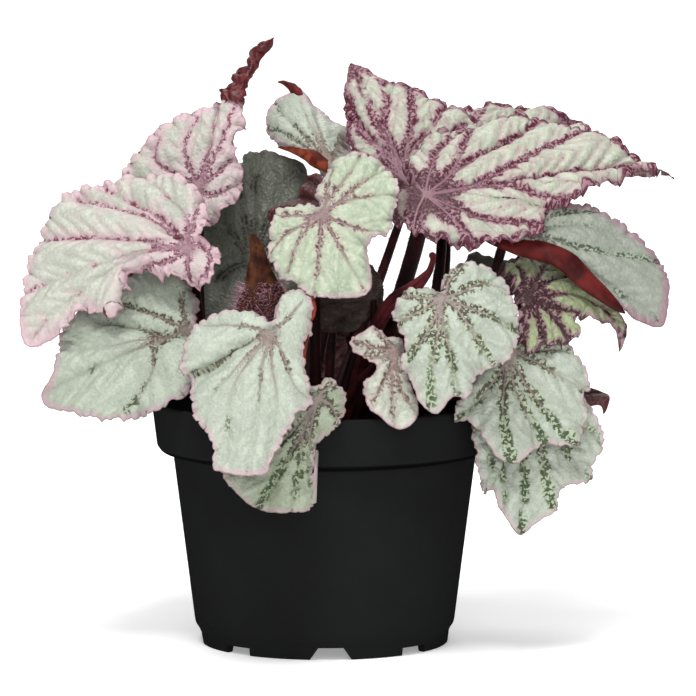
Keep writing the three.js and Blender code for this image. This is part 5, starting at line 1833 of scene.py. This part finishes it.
def cutter_drill(radius, angle):
    """A short upright cylinder through the raised floor, at an angle round the pot."""
    shape = bmesh.new()
    bmesh.ops.create_cone(shape, cap_ends=True, segments=32, radius1=radius * MM,
                          radius2=radius * MM, depth=6 * MM)
    x, y = DRAIN_CIRCLE * math.cos(angle), DRAIN_CIRCLE * math.sin(angle)
    centre = Vector((x, y, inner_floor - WALL / 2)) * MM
    bmesh.ops.translate(shape, verts=shape.verts, vec=centre)
    return shape


cutters = bmesh.new()
parts = [cutter_box(WIDE_NOTCH, FOOT_HEIGHT - 0.4, WIDE_NOTCH_TURN + quarter, WIDE_NOTCH_TAPER)
         for quarter in QUARTERS]
parts += [cutter_box(NARROW_NOTCH, FOOT_HEIGHT - 2, NARROW_NOTCH_TURN + quarter)
          for quarter in QUARTERS]
parts += [cutter_drill(DRAIN_RADIUS, 2 * math.pi * (i + 0.5) / DRAINS) for i in range(DRAINS)]
for part in parts:
    mesh = bpy.data.meshes.new("cutter")
    part.to_mesh(mesh)
    part.free()
    cutters.from_mesh(mesh)
    bpy.data.meshes.remove(mesh)
cutter_mesh = bpy.data.meshes.new("cutters")
cutters.to_mesh(cutter_mesh)
cutters.free()
cutter = new_object("cutters", cutter_mesh)
cut = pot.modifiers.new("cut", "BOOLEAN")
cut.operation, cut.solver, cut.object = "DIFFERENCE", "EXACT", cutter
cut.use_self = False
pot = to_mesh(pot, "pot_nursery")
bpy.data.objects.remove(cutter)
pot.data.polygons.foreach_set("use_smooth", [True] * len(pot.data.polygons))
pot.data.set_sharp_from_angle(angle=math.radians(35))


def plastic_material():
    material, tree, shader = new_material("black moulded plastic")
    where = put(tree, "ShaderNodeTexCoord").outputs["Object"]
    fine = put(tree, "ShaderNodeTexNoise", {"Vector": where, "Scale": 1600.0, "Detail": 3.0})
    cloud = put(tree, "ShaderNodeTexNoise", {"Vector": where, "Scale": 24.0, "Detail": 4.0})
    colour = mix(tree, cloud.outputs[0], paint("#171717"), paint("#202121"))
    # Painted shade: the crease under the band is darkened by height, where the band overhangs the
    # wall.
    height = put(tree, "ShaderNodeSeparateXYZ", {0: where}).outputs[2]
    above = smooth(tree, height, (BAND_BOTTOM - 2.6) * MM, (BAND_BOTTOM - 1.4) * MM)
    below = smooth(tree, height, (BAND_BOTTOM + 0.9) * MM, (BAND_BOTTOM - 0.2) * MM)
    crease = calc(tree, "MULTIPLY", calc(tree, "MULTIPLY", above, below), 0.85)
    colour = mix(tree, crease, colour, paint("#050505"))
    tree.links.new(colour, shader.inputs["Base Color"])
    rough = calc(tree, "ADD", calc(tree, "MULTIPLY", cloud.outputs[0], 0.16), 0.46)
    tree.links.new(rough, shader.inputs["Roughness"])
    bump = put(tree, "ShaderNodeBump",
               {"Height": fine.outputs[0], "Strength": 0.25, "Distance": 0.0002})
    tree.links.new(bump.outputs[0], shader.inputs["Normal"])
    shader.inputs["Specular IOR Level"].default_value = 0.0
    return material


pot.data.materials.clear()
pot.data.materials.append(plastic_material())
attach(pot, "root")
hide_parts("pot")
print("faces in the pot:", len(pot.data.polygons))

# %% [markdown]
# ## Floor and light
#
# A big white floor runs out past the picture and glows a little, so that it stays white in the
# shade of the plant. Soft light comes from a bright sky and three large lamps, as in a light tent.

# %% Floor, lamps and sky
FLOOR_GLOW = 0.3
FLOOR_HALF = 30  # half of its side, in metres
SKY = 0.3


def floor_material():
    material, tree, shader = new_material("white floor")
    shader.inputs["Base Color"].default_value = (0.93, 0.93, 0.93, 1)
    shader.inputs["Emission Color"].default_value = (1, 1, 1, 1)
    shader.inputs["Emission Strength"].default_value = FLOOR_GLOW
    shader.inputs["Roughness"].default_value = 0.9
    shader.inputs["Specular IOR Level"].default_value = 0.0
    return material


floor_mesh = bpy.data.meshes.new("floor")
corners = [(x * FLOOR_HALF, y * FLOOR_HALF, 0) for x, y in ((-1, -1), (1, -1), (1, 1), (-1, 1))]
floor_mesh.from_pydata(corners, [], [(0, 1, 2, 3)])
floor = new_object("floor", floor_mesh)
floor.data.materials.append(floor_material())
floor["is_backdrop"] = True


def lamp(name, where, size, power, target=(0, 0, 0.12)):
    """A square lamp at a place, with its side in metres and its power in watts."""
    data = bpy.data.lights.new(name, "AREA")
    data.shape, data.size, data.energy = "SQUARE", size, power
    made = bpy.data.objects.new(name, data)
    scene.collection.objects.link(made)
    made.location = where
    aim = Vector(target) - made.location
    made.rotation_euler = aim.to_track_quat("-Z", "Y").to_euler()


lamp("key lamp", (-0.25, -1.1, 2.4), 1.0, 54)
lamp("front lamp", (0.2, -2.8, 1.0), 1.2, 27)
lamp("back lamp", (0.0, 2.4, 2.6), 3.0, 62, target=(0, 2.4, 0))
world = bpy.data.worlds.new("studio")
scene.world = world
world.use_nodes = True
sky = world.node_tree.nodes["Background"]
sky.inputs["Color"].default_value = (1, 1, 1, 1)
sky.inputs["Strength"].default_value = SKY
scene.view_settings.view_transform = "Standard"
print("lamps:", len(bpy.data.lights))

# %% [markdown]
# ## Sizes
#
# The box round the dressed model is measured; the floor is left out.

# %% Measure the sizes
low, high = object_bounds()
